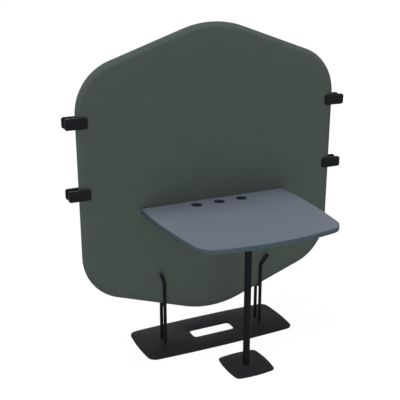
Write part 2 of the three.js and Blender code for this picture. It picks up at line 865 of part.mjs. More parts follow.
// The front jaw. Its boss keeps the jaws apart, and holds the threaded insert.
function jawBody() {
  const inner = jawShift - jawWidth / 2;
  const outer = jawShift + jawWidth / 2;
  const z = jawHeight / 2;
  const radius = jawCornerRadius;
  const outline = roundedPolygon([
    [outer, -z, radius],
    [outer, z, radius],
    [inner, z, radius],
    [inner, -z, radius],
  ]);
  const plate = platePrism(outline, jawThickness, jawEdgeBreak, jawCornerSteps);
  const boss = drill(jawBossRadius, -(jawInner - jawBossEnd), jawThickness / 2, roundSides);
  return joined([plate, boss.translate(clampScrewX, 0, 0)]);
}

// Turns a jaw so that its boss points along +Y and its inner face is at the front of the screen.
function frontJaw() {
  const body = jawBody().rotateX(Math.PI / 2).translate(0, -jawInner, 0);
  const pocketEnd = -(jawBossEnd + insertLength + seatGap);
  const pocket = pointBack(drill(insertRadius + seatGap, pocketEnd, 0, roundSides));
  return cutAway(body, [pocket.translate(clampScrewX, 0, 0)]);
}

function rearJaw() {
  const body = jawBody().rotateX(-Math.PI / 2).translate(0, jawInner, 0);
  const bore = pointBack(drill(clampScrew.radius + screwClearance, -seatGap, headSeat + seatGap));
  const outside = jawInner + jawThickness + seatGap;
  const headRoom = drill(clampScrew.headRadius + screwClearance, headSeat, outside);
  return cutAway(body, [
    bore.translate(clampScrewX, 0, 0),
    pointBack(headRoom).translate(clampScrewX, 0, 0),
  ]);
}

// The brass thread insert in the front jaw's boss.
function threadInsert() {
  const bore = clampScrew.radius + screwClearance;
  const profile = [
    [bore, 0],
    [insertRadius, 0],
    [insertRadius, insertLength],
    [bore, insertLength],
    [bore, 0],
  ];
  return pointBack(turned(profile)).translate(clampScrewX, -(jawBossEnd + insertLength), 0);
}

// The screw comes from the back, with its head sunk in the rear jaw.
function jawScrew() {
  const underHead = headSeat + seatGap;
  const length = underHead + jawBossEnd + clampScrew.depth;
  return cylinderHead(clampScrew, length)
    .rotateX(Math.PI / 2)
    .translate(clampScrewX, underHead + clampScrew.headHeight, 0);
}

function buildClamps() {
  const clamps = new THREE.Group();
  for (const [level, height] of Object.entries(clampHeights)) {
    for (const [sideName, side] of [["left", -1], ["right", 1]]) {
      const name = `${level}_${sideName}`;
      const pieces = [
        part(`clamp_front_jaw_${name}`, frontJaw(), finishes.blackNylon),
        part(`clamp_rear_jaw_${name}`, rearJaw(), finishes.blackNylon),
        part(`clamp_insert_${name}`, threadInsert(), finishes.brass),
        part(`clamp_screw_${name}`, jawScrew(), finishes.zincSteel),
      ];
      for (const piece of pieces) {
        piece.scale.x = side;
        clamps.add(place(piece, (side * screenWidth) / 2, 0, height));
      }
    }
  }
  return clamps;
}

// The whole object, centred on its footprint
const assembly = new THREE.Group();
assembly.add(buildScreen(), buildStand(), buildDesk(), buildLeg(), buildClamps());
const bounds = new THREE.Box3().setFromObject(assembly);
assembly.position.y = -(bounds.min.y + bounds.max.y) / 2;

const deskWithScreen = new THREE.Group();
deskWithScreen.add(assembly);

export default deskWithScreen;
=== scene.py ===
import math

import bmesh
import bpy
from mathutils import Matrix, Vector, noise


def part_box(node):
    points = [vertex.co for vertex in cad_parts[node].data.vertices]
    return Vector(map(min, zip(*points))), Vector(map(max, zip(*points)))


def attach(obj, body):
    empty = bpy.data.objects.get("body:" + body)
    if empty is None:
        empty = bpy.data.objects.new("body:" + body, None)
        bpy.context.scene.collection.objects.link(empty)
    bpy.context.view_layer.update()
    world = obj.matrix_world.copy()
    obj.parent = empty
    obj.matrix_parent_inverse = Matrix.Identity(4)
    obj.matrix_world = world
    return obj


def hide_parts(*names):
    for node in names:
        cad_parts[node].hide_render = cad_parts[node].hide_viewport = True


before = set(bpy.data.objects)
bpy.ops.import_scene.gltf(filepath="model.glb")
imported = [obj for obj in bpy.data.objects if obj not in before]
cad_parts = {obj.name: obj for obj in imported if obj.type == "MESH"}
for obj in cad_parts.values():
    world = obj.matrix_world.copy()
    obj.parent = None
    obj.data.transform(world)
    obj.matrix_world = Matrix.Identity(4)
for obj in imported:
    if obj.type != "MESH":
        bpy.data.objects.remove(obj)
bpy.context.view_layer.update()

ROOT = "desk_and_screen"

# Camera: where the photograph was taken from, a little above a standing person's eyes and to the
# left of the desk.
camera_data = bpy.data.cameras.new("camera")
camera_data.sensor_width = 36
camera_data.lens = 67.04
camera = bpy.data.objects.new("camera", camera_data)
camera.location = (-1.5398, -2.8684, 1.8784)
camera.rotation_euler = (math.radians(71.53), 0, math.radians(-25.32))
bpy.context.scene.collection.objects.link(camera)
bpy.context.scene.camera = camera


# Studio: a white floor that fades into a white surround, which gives a weak light of its own. Wide
# soft lamps hang above and stand before and behind the object, so that faces that look up are the
# brightest, and a piece shades them only if it is in the lamp's collection.
def add_node(tree, kind, inputs=None, **settings):
    """Adds a node. inputs gives its sockets a value, or the output of another node."""
    node = tree.nodes.new(kind)
    for name, value in settings.items():
        setattr(node, name, value)
    for socket, value in (inputs or {}).items():
        if isinstance(value, bpy.types.NodeSocket):
            tree.links.new(value, node.inputs[socket])
        else:
            node.inputs[socket].default_value = value
    return node


def seen_directly(tree):
    """1 for what the camera, a reflection or a see-through surface sees, and 0 for light."""
    path = add_node(tree, "ShaderNodeLightPath").outputs
    either = add_node(
        tree, "ShaderNodeMath", {0: path["Is Camera Ray"], 1: path["Is Glossy Ray"]},
        operation="MAXIMUM",
    ).outputs[0]
    return add_node(
        tree, "ShaderNodeMath", {0: either, 1: path["Is Transmission Ray"]}, operation="MAXIMUM"
    ).outputs[0]


AMBIENT = 0.12  # the surround's strength as a lamp
world = bpy.data.worlds.new("studio")
world.use_nodes = True
surround = world.node_tree
strength = add_node(
    surround, "ShaderNodeMix", {0: seen_directly(surround), 2: AMBIENT, 3: 1.0}, data_type="FLOAT"
).outputs[0]
surround.links.new(strength, surround.nodes["Background"].inputs["Strength"])
surround.nodes["Background"].inputs["Color"].default_value = (1, 1, 1, 1)
bpy.context.scene.world = world
bpy.context.scene.view_settings.view_transform = "Standard"

FLOOR_SIZE = 60.0
FLOOR_GREY = (0.3, 0.3, 0.3, 1)
GLOW_SHARE, GLOW = 0.8, 1.15  # the part of the floor's white that no shadow takes away
floor_bm = bmesh.new()
bmesh.ops.create_grid(floor_bm, x_segments=1, y_segments=1, size=FLOOR_SIZE / 2)
floor_mesh = bpy.data.meshes.new("floor")
floor_bm.to_mesh(floor_mesh)
floor_bm.free()
floor = bpy.data.objects.new("floor", floor_mesh)
bpy.context.scene.collection.objects.link(floor)
floor_paint = bpy.data.materials.new("matt_white_floor")
floor_paint.use_nodes = True
paint = floor_paint.node_tree
paint.nodes.remove(paint.nodes["Principled BSDF"])
matt = add_node(paint, "ShaderNodeBsdfDiffuse", {"Color": FLOOR_GREY}).outputs[0]
glow = add_node(paint, "ShaderNodeEmission", {"Color": (1, 1, 1, 1), "Strength": GLOW}).outputs[0]
glow_share = add_node(
    paint, "ShaderNodeMath", {0: seen_directly(paint), 1: GLOW_SHARE}, operation="MULTIPLY"
).outputs[0]
floor_mix = add_node(paint, "ShaderNodeMixShader", {0: glow_share, 1: matt, 2: glow}).outputs[0]
paint.links.new(floor_mix, paint.nodes["Material Output"].inputs["Surface"])
floor.data.materials.append(floor_paint)

SHADOW_LAMP_POWER = 30.0  # watts: only enough to draw the shadow on the floor
shadow_data = bpy.data.lights.new("shadow_lamp", "AREA")
shadow_data.shape = "SQUARE"
shadow_data.size = 3.0
shadow_data.energy = SHADOW_LAMP_POWER
shadow_lamp = bpy.data.objects.new("shadow_lamp", shadow_data)
shadow_lamp.location = (-1.3, -2.4, 5.6)
aim = Vector((0, 0, 0.8)) - shadow_lamp.location
shadow_lamp.rotation_euler = aim.to_track_quat("-Z", "Y").to_euler()
bpy.context.scene.collection.objects.link(shadow_lamp)

SOFTNESS = math.radians(36)  # width of the lamps, as seen from the object
screen_shades = bpy.data.collections.new("screen_shades")
all_shades = bpy.data.collections.new("all_shades")
for lamp_name, energy, towards, shades in (
    ("lamp_above", 4.2, (-0.14, 0.02, 0.99), screen_shades),
    ("lamp_before", 1.36, (-0.24, -0.97, 0), all_shades),
    ("lamp_behind", 1.2, (0.15, 0.98, 0), all_shades),
):
    lamp_data = bpy.data.lights.new(lamp_name, "SUN")
    lamp_data.energy = energy
    lamp_data.angle = SOFTNESS
    lamp = bpy.data.objects.new(lamp_name, lamp_data)
    lamp.rotation_euler = Vector(towards).to_track_quat("Z", "Y").to_euler()
    lamp.light_linking.blocker_collection = shades
    bpy.context.scene.collection.objects.link(lamp)

# Base plate: 5 mm steel plate cut by laser, with bowed sides, round corners and a slot in the
# middle for cables, in a fine black powder coat. The felt that saves the floor lies under it.
MM = 0.001
ARC_TOLERANCE = 0.03 * MM  # how far an arc may stray from its true curve
MERGE = 0.001 * MM  # vertices closer than this are one
NEAR = 0.01 * MM  # two heights closer than this are the same
FLAT = 0.999  # a face is flat if its normal's Z is more than this


def linear(code):
    """An sRGB colour such as #27282A as linear red, green, blue and alpha."""
    shares = [int(code[i:i + 2], 16) / 255 for i in (1, 3, 5)]
    return [s / 12.92 if s <= 0.04045 else ((s + 0.055) / 1.055) ** 2.4 for s in shares] + [1]


def new_material(name, roughness, **inputs):
    """A material whose Principled shader has these plain values, its tree and that shader."""
    material = bpy.data.materials.new(name)
    material.use_nodes = True
    shader = material.node_tree.nodes["Principled BSDF"]
    shader.inputs["Roughness"].default_value = roughness
    for socket, value in inputs.items():
        shader.inputs[socket.replace("_", " ")].default_value = value
    return material, material.node_tree, shader


def faces_in(items):
    return [item for item in items if isinstance(item, bmesh.types.BMFace)]


def verts_in(items):
    return [item for item in items if isinstance(item, bmesh.types.BMVert)]


def spin(bm, geom, centre, axis, angle, steps, merge=False):
    """Sweeps geometry round an axis, and gives what lies at the end of the sweep."""
    return bmesh.ops.spin(
        bm, geom=geom, cent=centre, axis=axis, dvec=(0, 0, 0), angle=angle, steps=steps,
        use_merge=merge, use_normal_flip=False, use_duplicate=False,
    )["geom_last"]


def inset_faces(bm, faces, thickness, depth=0.0):
    """Insets a flat region by the same width all round, and lifts it by depth."""
    bmesh.ops.inset_region(
        bm, faces=faces, thickness=thickness, depth=depth, use_boundary=True,
        use_even_offset=True,
    )


def draw_outline(bm, arcs):
    """Spins a vertex round each arc (x, y, radius, from, to) and closes them into one loop."""
    ends = []
    for x, y, radius, start, stop in arcs:
        centre = Vector((x, y, 0))
        first = bm.verts.new(centre + radius * Vector((math.cos(start), math.sin(start), 0)))
        steps = math.ceil(1 + abs(stop - start) * math.sqrt(radius / (8 * ARC_TOLERANCE)))
        last = spin(bm, [first], centre, (0, 0, 1), stop - start, steps)[0]
        ends.append((first, last))
    for (_, last), (first, _) in zip(ends, ends[1:] + ends[:1]):
        bm.edges.new((last, first))
    bmesh.ops.remove_doubles(bm, verts=bm.verts, dist=ARC_TOLERANCE)


def round_rims(bm, faces, radius, steps=3):
    """Insets a flat region in steps up a quarter circle, so that its rims are rounded over."""
    inset = rise = 0.0
    for step in range(1, steps + 1):
        angle = step / steps * math.pi / 2
        new_inset, new_rise = radius * (1 - math.cos(angle)), radius * math.sin(angle)
        inset_faces(bm, faces, new_inset - inset, new_rise - rise)
        inset, rise = new_inset, new_rise


def flat_plate(outlines, bottom, top, rim, steps=3):
    """A plate between two heights, from its outline and those of its holes, with rounded rims."""
    bm = bmesh.new()
    for arcs in outlines:
        draw_outline(bm, arcs)
    bmesh.ops.triangle_fill(bm, use_beauty=True, use_dissolve=False, edges=bm.edges)
    bmesh.ops.translate(bm, verts=bm.verts, vec=(0, 0, bottom + rim))
    lower = list(bm.faces)
    made = bmesh.ops.extrude_face_region(bm, geom=lower)["geom"]
    upper = faces_in(made)
    bmesh.ops.translate(bm, verts=verts_in(made), vec=(0, 0, top - bottom - 2 * rim))
    bmesh.ops.recalc_face_normals(bm, faces=bm.faces)
    round_rims(bm, upper, rim, steps)
    round_rims(bm, lower, rim, steps)
    return bm


def make_piece(bm, name, material, body=ROOT, replaces=()):
    """Makes the finished mesh a piece of the object, smooth but for its sharp edges."""
    mesh = bpy.data.meshes.new(name)
    bm.to_mesh(mesh)
    bm.free()
    mesh.shade_smooth()
    mesh.set_sharp_from_angle(angle=math.radians(35))
    mesh.materials.append(material)
    piece = bpy.data.objects.new(name, mesh)
    bpy.context.scene.collection.objects.link(piece)
    all_shades.objects.link(piece)
    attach(piece, body)
    if replaces:
        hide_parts(*replaces)
    return piece


def touching_circle(centre_a, radius_a, centre_b, radius_b, radius, towards):
    """Centre of a circle that touches two larger circles from inside, on the side of towards."""
    line = centre_b - centre_a
    reach_a, reach_b = radius_a - radius, radius_b - radius
    along = (reach_a ** 2 - reach_b ** 2 + line.length_squared) / (2 * line.length)
    across = math.sqrt(reach_a ** 2 - along ** 2)
    line.normalize()
    sideways = Vector((-line.y, line.x))
    if sideways.dot(towards) < 0:
        sideways.negate()
    return centre_a + along * line + across * sideways


def bearing(point, centre):
    return math.atan2(point.y - centre.y, point.x - centre.x)


def bowed_plate_arcs(low, high, bow, corner):
    """The arcs of a plate that fills a box seen from above, its sides bowed, its corners round."""
    middle = (low + high) / 2
    half_x, half_y = (high.x - low.x) / 2, (high.y - low.y) / 2
    side_radius = ((half_y - bow) ** 2 + bow ** 2) / (2 * bow)
    end_radius = ((half_x - bow) ** 2 + bow ** 2) / (2 * bow)
    side = Vector((half_x - side_radius, 0))
    end = Vector((0, half_y - end_radius))
    fillet = touching_circle(side, side_radius, end, end_radius, corner, Vector((1, 1)))
    a, b = bearing(fillet, side), bearing(fillet, end)
    quarter = [
        (side.x, 0, side_radius, -a, a),
        (fillet.x, fillet.y, corner, a, b),
        (0, end.y, end_radius, b, math.pi - b),
        (-fillet.x, fillet.y, corner, math.pi - b, math.pi - a),
    ]
    turned = [(-x, -y, r, start + math.pi, stop + math.pi) for x, y, r, start, stop in quarter]
    return [
        (middle.x + x, middle.y + y, r, start, stop) for x, y, r, start, stop in quarter + turned
    ]


def rounded_corners(corners):
    """The arcs that round off a polygon of (x, y, radius) corners, drawn anticlockwise."""
    arcs = []
    for i, (x, y, radius) in enumerate(corners):
        corner = Vector((x, y))
        arriving = (corner - Vector(corners[i - 1][:2])).normalized()
        leaving = (Vector(corners[(i + 1) % len(corners)][:2]) - corner).normalized()
        turn = math.atan2(arriving.cross(leaving), arriving.dot(leaving))
        start = corner - arriving * radius * math.tan(abs(turn) / 2)
        inwards = Vector((-arriving.y, arriving.x)) * math.copysign(1, turn)
        centre = start + inwards * radius
        angle = math.atan2(-inwards.y, -inwards.x)
        arcs.append((centre.x, centre.y, radius, angle, angle + turn))
    return arcs


def rounded_box(x, y, half_x, half_y, radius):
    corners = [(1, -1), (1, 1), (-1, 1), (-1, -1)]
    return rounded_corners([(x + i * half_x, y + j * half_y, radius) for i, j in corners])


def clouded_material(name, shades, cloud_size, roughness, detail=2.0, tangle=0.0, **inputs):
    """A material whose colour drifts between two near shades. It comes with its tree, its
    shader, the place on the object and the clouds, for the rest of its pattern."""
    material, tree, shader = new_material(name, roughness, **inputs)
    place = add_node(tree, "ShaderNodeTexCoord").outputs["Object"]
    cloud = add_node(
        tree, "ShaderNodeTexNoise",
        {"Vector": place, "Scale": 1 / cloud_size, "Detail": detail, "Distortion": tangle},
    ).outputs["Fac"]
    dark, light = shades
    colour = add_node(
        tree, "ShaderNodeMix", {0: cloud, 6: linear(dark), 7: linear(light)}, data_type="RGBA"
    ).outputs[2]
    tree.links.new(colour, shader.inputs["Base Color"])
    return material, tree, shader, place, cloud


def grained_material(
    name, shades, roughness, specular, cloud_size, grain_size, relief, grain_detail=2.0
):
    """A clouded colour under a fine grain that breaks up the shine. The grain's relief is given
    as strength and depth."""
    material, tree, shader, place, _ = clouded_material(
        name, shades, cloud_size, roughness, Specular_IOR_Level=specular
    )
    grain = add_node(
        tree, "ShaderNodeTexNoise",
        {"Vector": place, "Scale": 1 / grain_size, "Detail": grain_detail},
    ).outputs["Fac"]
    strength, depth = relief
    bump = add_node(
        tree, "ShaderNodeBump", {"Height": grain, "Strength": strength, "Distance": depth}
    ).outputs[0]
    tree.links.new(bump, shader.inputs["Normal"])
    return material


def felt_material(name, shades, fibre_size, fibre_detail, tangle, relief, **inputs):
    """Felted fibres, dead matt, each with its own shade and each standing out a little."""
    material, tree, shader, _, fuzz = clouded_material(
        name, shades, fibre_size, 1.0, fibre_detail, tangle, **inputs
    )
    strength, depth = relief
    bump = add_node(
        tree, "ShaderNodeBump", {"Height": fuzz, "Strength": strength, "Distance": depth}
    ).outputs[0]
    tree.links.new(bump, shader.inputs["Normal"])
    return material


def finish_node(name, material):
    """Gives its material to a CAD node that stays as it is."""
    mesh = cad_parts[name].data
    mesh.materials.clear()
    mesh.materials.append(material)


# Polyester powder melted on to the steel, matt and finely pebbled: a soft, colourless shine with
# no wear. The pebbles are drawn about three times their real size, so that they show at all.
powder_coat = grained_material(
    "black_powder_coated_steel", ("#1A1B1D", "#1E1F21"), roughness=0.52, specular=0.015,
    cloud_size=40 * MM, grain_size=1.6 * MM, relief=(0.35, 0.1 * MM),
)
# Needled polyester fibre: a dead matt black with a short fuzz of fibres lying every way.
needle_felt = felt_material(
    "black_needle_felt", ("#131416", "#1E1F22"), fibre_size=1.5 * MM, fibre_detail=4.0,
    tangle=1.5, relief=(0.5, 0.3 * MM), IOR=1.45, Sheen_Weight=0.3,
)
PLATE_BOW = 11.5 * MM
PLATE_CORNER = 44 * MM
PLATE_RIM = 1.0 * MM
SLOT_WIDTH, SLOT_DEPTH, SLOT_CORNER = 228 * MM, 74 * MM, 18 * MM
plate_low, plate_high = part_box("base_plate")
plate_middle = (plate_low + plate_high) / 2
slot_arcs = rounded_box(
    plate_middle.x, plate_middle.y, SLOT_WIDTH / 2, SLOT_DEPTH / 2, SLOT_CORNER
)
plate_arcs = bowed_plate_arcs(plate_low.xy, plate_high.xy, PLATE_BOW, PLATE_CORNER)
plate_bm = flat_plate([plate_arcs, slot_arcs], plate_low.z, plate_high.z, PLATE_RIM)
make_piece(plate_bm, "base_plate_steel", powder_coat, replaces=["base_plate"])
finish_node("base_felt", needle_felt)

# Rods: 17 mm round bar, bent outwards by 30 degrees near the top so that the screen slides in
# between the pairs, powder coated like the plate and screwed to it from below.
ROD_RADIUS = 8.5 * MM
ROD_BORE = 4.4 * MM
BORE_DEPTH = 25 * MM
BEND_HEIGHT = 321 * MM
BEND_RADIUS = 45 * MM
FLARE_ANGLE = math.radians(30)
FLARE_TURN = math.radians(45)
FLARE_LENGTH = 60 * MM
ROD_TIP = 1.5 * MM
ROD_SIDES = 40
BEND_STEPS = 12


def drop(bm, faces):
    """Deletes those faces that an extrusion has left inside the solid."""
    stale = [face for face in faces if face.is_valid]
    bmesh.ops.delete(bm, geom=stale, context="FACES_ONLY")


def pull(bm, faces, vec):
    """Extrudes a cap along a vector and gives the new cap."""
    made = bmesh.ops.extrude_face_region(bm, geom=faces)["geom"]
    bmesh.ops.translate(bm, verts=verts_in(made), vec=vec)
    drop(bm, faces)
    return faces_in(made)


def bent_rod(name, side, depth):
    """One rod, drawn on its own axis as if it flared towards +X and then turned into place."""
    low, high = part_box(name)
    bm = bmesh.new()
    bmesh.ops.create_circle(bm, cap_ends=True, segments=ROD_SIDES, radius=ROD_RADIUS)
    foot = list(bm.faces)
    made = bmesh.ops.extrude_face_region(bm, geom=foot)["geom"]
    bmesh.ops.translate(bm, verts=verts_in(made), vec=(0, 0, BEND_HEIGHT - low.z))
    cap = faces_in(made)
    bend_centre = (BEND_RADIUS, 0, BEND_HEIGHT - low.z)
    bent = spin(bm, cap, bend_centre, (0, 1, 0), FLARE_ANGLE, BEND_STEPS)
    drop(bm, cap)
    cap = faces_in(bent)
    along = Vector((math.sin(FLARE_ANGLE), 0, math.cos(FLARE_ANGLE)))
    cap = pull(bm, cap, along * (FLARE_LENGTH - ROD_TIP))
    bmesh.ops.recalc_face_normals(bm, faces=bm.faces)
    round_rims(bm, cap, ROD_TIP)
    inset_faces(bm, foot, ROD_RADIUS - ROD_BORE)
    pull(bm, foot, (0, 0, BORE_DEPTH))
    turn = math.atan2(depth * math.sin(FLARE_TURN), side * math.cos(FLARE_TURN))
    axis_x = (low.x if side > 0 else high.x) + side * ROD_RADIUS
    axis_y = (low.y if depth > 0 else high.y) + depth * ROD_RADIUS
    place = Matrix.Translation((axis_x, axis_y, low.z)) @ Matrix.Rotation(turn, 4, "Z")
    bmesh.ops.transform(bm, matrix=place, verts=bm.verts)
    bmesh.ops.recalc_face_normals(bm, faces=bm.faces)
    make_piece(bm, f"{name}_bar", powder_coat, replaces=[name])
    return Vector((axis_x, axis_y, 0))


rod_axes = {}
for rod_depth, rod_row in ((-1, "front"), (1, "rear")):
    for rod_side, rod_hand in ((-1, "left"), (1, "right")):
        axis = bent_rod(f"rod_{rod_row}_{rod_hand}", rod_side, rod_depth)
        rod_axes[rod_row, rod_hand] = axis


# Cross bars: 12 mm round bar, welded between the two rods of each side just under the screen,
# which stands on them. Bars and beads are under the same powder coat.
BAR_SIDES = 32
BEAD_LEG = 2.2 * MM  # how far a bead reaches along the bar and out over the rod
BEAD_ROOT = 0.6 * MM  # how deep it has melted into both
BEAD_RIPPLES = 14
BEAD_RIPPLE = 0.12 * MM


def turned(corners, sides):
    """Spins a cross-section of (radius, height, rounding) corners round the Z axis."""
    bm = bmesh.new()
    draw_outline(bm, rounded_corners(corners))
    upright = Matrix.Rotation(math.pi / 2, 3, "X")
    bmesh.ops.rotate(bm, verts=bm.verts, cent=(0, 0, 0), matrix=upright)
    section = [*bm.verts, *bm.edges]
    spin(bm, section, (0, 0, 0), (0, 0, 1), 2 * math.pi, sides, merge=True)
    bmesh.ops.remove_doubles(bm, verts=bm.verts, dist=MERGE)
    along_axis = [edge for edge in bm.edges if not edge.link_faces]
    bmesh.ops.delete(bm, geom=along_axis, context="EDGES")
    bmesh.ops.recalc_face_normals(bm, faces=bm.faces)
    return bm


def point_along(bm, start, direction):
    """Takes a piece made up the Z axis to a start point and points it along a direction."""
    turn = Vector((0, 0, 1)).rotation_difference(Vector(direction)).to_matrix().to_4x4()
    bmesh.ops.transform(bm, matrix=Matrix.Translation(start) @ turn, verts=bm.verts)
    return bm


def rod_between(start, stop, radius, sides=24):
    """A round solid from one point to another."""
    direction = Vector(stop) - Vector(start)
    length = direction.length
    bm = turned([(0, 0, 0), (radius, 0, 0), (radius, length, 0), (0, length, 0)], sides)
    return point_along(bm, Vector(start), direction)


def fit_to_rod(bm, verts, axis, depth):
    """Pushes vertices along Y, by as much as a rod's round side is away from its front."""
    for vert in verts:
        off = min(abs(vert.co.x - axis.x), ROD_RADIUS)
        gap = ROD_RADIUS - math.sqrt(ROD_RADIUS ** 2 - off ** 2)
        bmesh.ops.translate(bm, verts=[vert], vec=(0, -depth * gap, 0))


for bar_hand in ("left", "right"):
    bar_low, bar_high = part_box(f"cross_bar_{bar_hand}")
    bar_radius = (bar_high.z - bar_low.z) / 2
    bar_height = bar_high.z - bar_radius
    front_axis, rear_axis = rod_axes["front", bar_hand], rod_axes["rear", bar_hand]
    start = front_axis + Vector((0, ROD_RADIUS, bar_height))
    stop = rear_axis + Vector((0, -ROD_RADIUS, bar_height))
    bar_bm = rod_between(start, stop, bar_radius, BAR_SIDES)
    middle_y = (start.y + stop.y) / 2
    fit_to_rod(bar_bm, [v for v in bar_bm.verts if v.co.y < middle_y], front_axis, 1)
    fit_to_rod(bar_bm, [v for v in bar_bm.verts if v.co.y > middle_y], rear_axis, -1)
    make_piece(
        bar_bm, f"cross_bar_{bar_hand}_steel", powder_coat,
        replaces=[f"cross_bar_{bar_hand}"],
    )
    for bead_row, bead_axis, towards in (("front", front_axis, 1), ("rear", rear_axis, -1)):
        inner, outer = bar_radius - BEAD_ROOT, bar_radius + BEAD_LEG
        bead_bm = turned(
            [(inner, -BEAD_ROOT, 0), (outer, -BEAD_ROOT, 0), (outer, 0, 0), (inner, BEAD_LEG, 0)],
            BEAD_RIPPLES * 4,
        )
        for vert in bead_bm.verts:
            ripple = BEAD_RIPPLE * math.sin(BEAD_RIPPLES * math.atan2(vert.co.y, vert.co.x))
            bmesh.ops.translate(bead_bm, verts=[vert], vec=(0, 0, ripple))
        root = bead_axis + Vector((0, towards * ROD_RADIUS, bar_height))
        point_along(bead_bm, root, (0, towards, 0))
        fit_to_rod(bead_bm, list(bead_bm.verts), bead_axis, towards)
        make_piece(bead_bm, f"weld_{bead_row}_{bar_hand}", powder_coat)


# Screws of the stand: countersunk steel screws with a hexagon socket, zinc plated, driven from
# below into the rods' feet. The felt hides them.
SOCKET_SIDES = 24
THREAD_PITCH, THREAD_DEPTH = 1.0 * MM, 0.6 * MM
HEAD_ROUNDING = 0.3 * MM
M8_FLAT_HEAD = (4 * MM, 8 * MM, 3.6 * MM)  # shank's radius, head's radius and head's height
M8_HEX_SOCKET = (2.9 * MM, 2.6 * MM, 0)  # radius, depth, and how far in its lobes' valleys are


def zinc_material():
    """Bright zinc, plated and passivated: a grey metal with a faint blue tone and a slightly
    uneven shine from the bath."""
    spangle = 5 * MM
    material, tree, shader, _, cloud = clouded_material(
        "zinc_plated_steel", ("#A9AEB4", "#C2C5C8"), spangle, 0.34, detail=3.0, Metallic=1.0
    )
    dullness = add_node(
        tree, "ShaderNodeMapRange", {"Value": cloud, "To Min": 0.26, "To Max": 0.42}
    ).outputs[0]
    tree.links.new(dullness, shader.inputs["Roughness"])
    return material


def threaded(radius, start, stop):
    """The edge of a thread as (radius, height, rounding) corners from start up to stop."""
    turns = math.floor((stop - start) / THREAD_PITCH)
    root = radius - THREAD_DEPTH
    line = []
    for i in range(turns):
        height = start + i * THREAD_PITCH
        line += [(root, height, 0), (radius, height + THREAD_PITCH / 2, 0)]
    return line + [(root, start + turns * THREAD_PITCH, 0)]


def make_screw(node, direction, size, form, socket, body=ROOT):
    """A screw in its node's place. Its head's outer face comes first along the direction."""
    radius, head_radius, head_height = size
    low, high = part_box(node)
    direction = Vector(direction)
    middle = (low + high) / 2
    length = abs((high - low).dot(direction))
    start = middle - direction * length / 2
    neck = radius if form == "countersunk" else head_radius
    tip = length - (3 * radius if form == "pointed" else radius / 2)
    end_radius = 0 if form == "pointed" else radius * 0.7
    corners = [(0, 0, 0), (head_radius, 0, HEAD_ROUNDING), (neck, head_height, 0)]
    if form != "countersunk":
        corners.append((radius, head_height, 0))
    corners += threaded(radius, head_height + THREAD_PITCH, tip)
    if end_radius:
        corners.append((end_radius, length, 0))
    corners.append((0, length, 0))
    bm = turned(corners, SOCKET_SIDES)
    crown = [v for v in bm.verts if v.co.length < NEAR]
    bmesh.ops.dissolve_verts(bm, verts=crown)
    head = [max((f for f in bm.faces if f.normal.z < -FLAT), key=lambda f: f.calc_area())]
    socket_radius, socket_depth, lobe = socket
    rim_radius = max(v.co.xy.length for v in head[0].verts)
    inset_faces(bm, head, rim_radius - socket_radius)
    for vert in head[0].verts:
        angle = math.atan2(vert.co.y, vert.co.x)
        if lobe:
            size = 1 - lobe * (1 - math.cos(6 * angle)) / 2
        else:
            size = math.cos(math.pi / 6) / math.cos((angle % (math.pi / 3)) - math.pi / 6)
        vert.co.xy *= size
    pull(bm, head, (0, 0, socket_depth))
    point_along(bm, start, direction)
    bmesh.ops.recalc_face_normals(bm, faces=bm.faces)
    make_piece(bm, f"{node}_zinc", zinc, body=body, replaces=[node])


zinc = zinc_material()
for screw_row, screw_hand in rod_axes:
    make_screw(
        f"rod_screw_{screw_row}_{screw_hand}", (0, 0, 1), M8_FLAT_HEAD, "countersunk",
        M8_HEX_SOCKET,
    )


# Screen's inside: a frame of 18 mm birch plywood with a cross rail, which takes the screws of
# the brackets, and boards of pressed felt in its two windows, which take up sound.
def plywood_material():
    """Birch plywood, sanded and bare: pale flat faces with a long fine grain, and thin light
    and dark layers along every cut edge."""
    material, tree, shader = new_material("birch_plywood", 0.62)
    place = add_node(tree, "ShaderNodeTexCoord").outputs["Object"]
    veneer = 1.4 * MM
    turns = add_node(
        tree, "ShaderNodeVectorMath", {0: place, 1: (0, 2 * math.pi / (2 * veneer), 0)},
        operation="MULTIPLY",
    ).outputs[0]
    depth = add_node(tree, "ShaderNodeSeparateXYZ", {0: turns}).outputs["Y"]
    wave = add_node(tree, "ShaderNodeMath", {0: depth}, operation="SINE").outputs[0]
    layer = add_node(
        tree, "ShaderNodeMapRange", {"Value": wave, "From Min": -0.3, "From Max": 0.3}
    ).outputs[0]
    stretched = add_node(
        tree, "ShaderNodeVectorMath", {0: place, 1: (1 / (60 * MM), 1 / (2 * MM), 1 / (2 * MM))},
        operation="MULTIPLY",
    ).outputs[0]
    grain = add_node(
        tree, "ShaderNodeTexNoise", {"Vector": stretched, "Scale": 1.0, "Detail": 4.0}
    ).outputs["Fac"]
    face = add_node(
        tree, "ShaderNodeMix", {0: grain, 6: linear("#C9AC80"), 7: linear("#DCC49C")},
        data_type="RGBA",
    ).outputs[2]
    colour = add_node(
        tree, "ShaderNodeMix", {0: layer, 6: linear("#A98455"), 7: face}, data_type="RGBA"
    ).outputs[2]
    tree.links.new(colour, shader.inputs["Base Color"])
    relief = add_node(
        tree, "ShaderNodeBump", {"Height": grain, "Strength": 0.3, "Distance": 0.1 * MM}
    ).outputs[0]
    tree.links.new(relief, shader.inputs["Normal"])
    return material


finish_node("screen_frame", plywood_material())
# Polyester fibre pressed into a stiff board: a soft grey made of paler and darker fibres.
acoustic_felt = felt_material(
    "pressed_polyester_felt", ("#7C8082", "#A2A6A8"), fibre_size=2.0 * MM, fibre_detail=5.0,
    tangle=2.0, relief=(0.6, 0.4 * MM), Sheen_Weight=0.2,
)
finish_node("upper_acoustic_core", acoustic_felt)
finish_node("lower_acoustic_core", acoustic_felt)

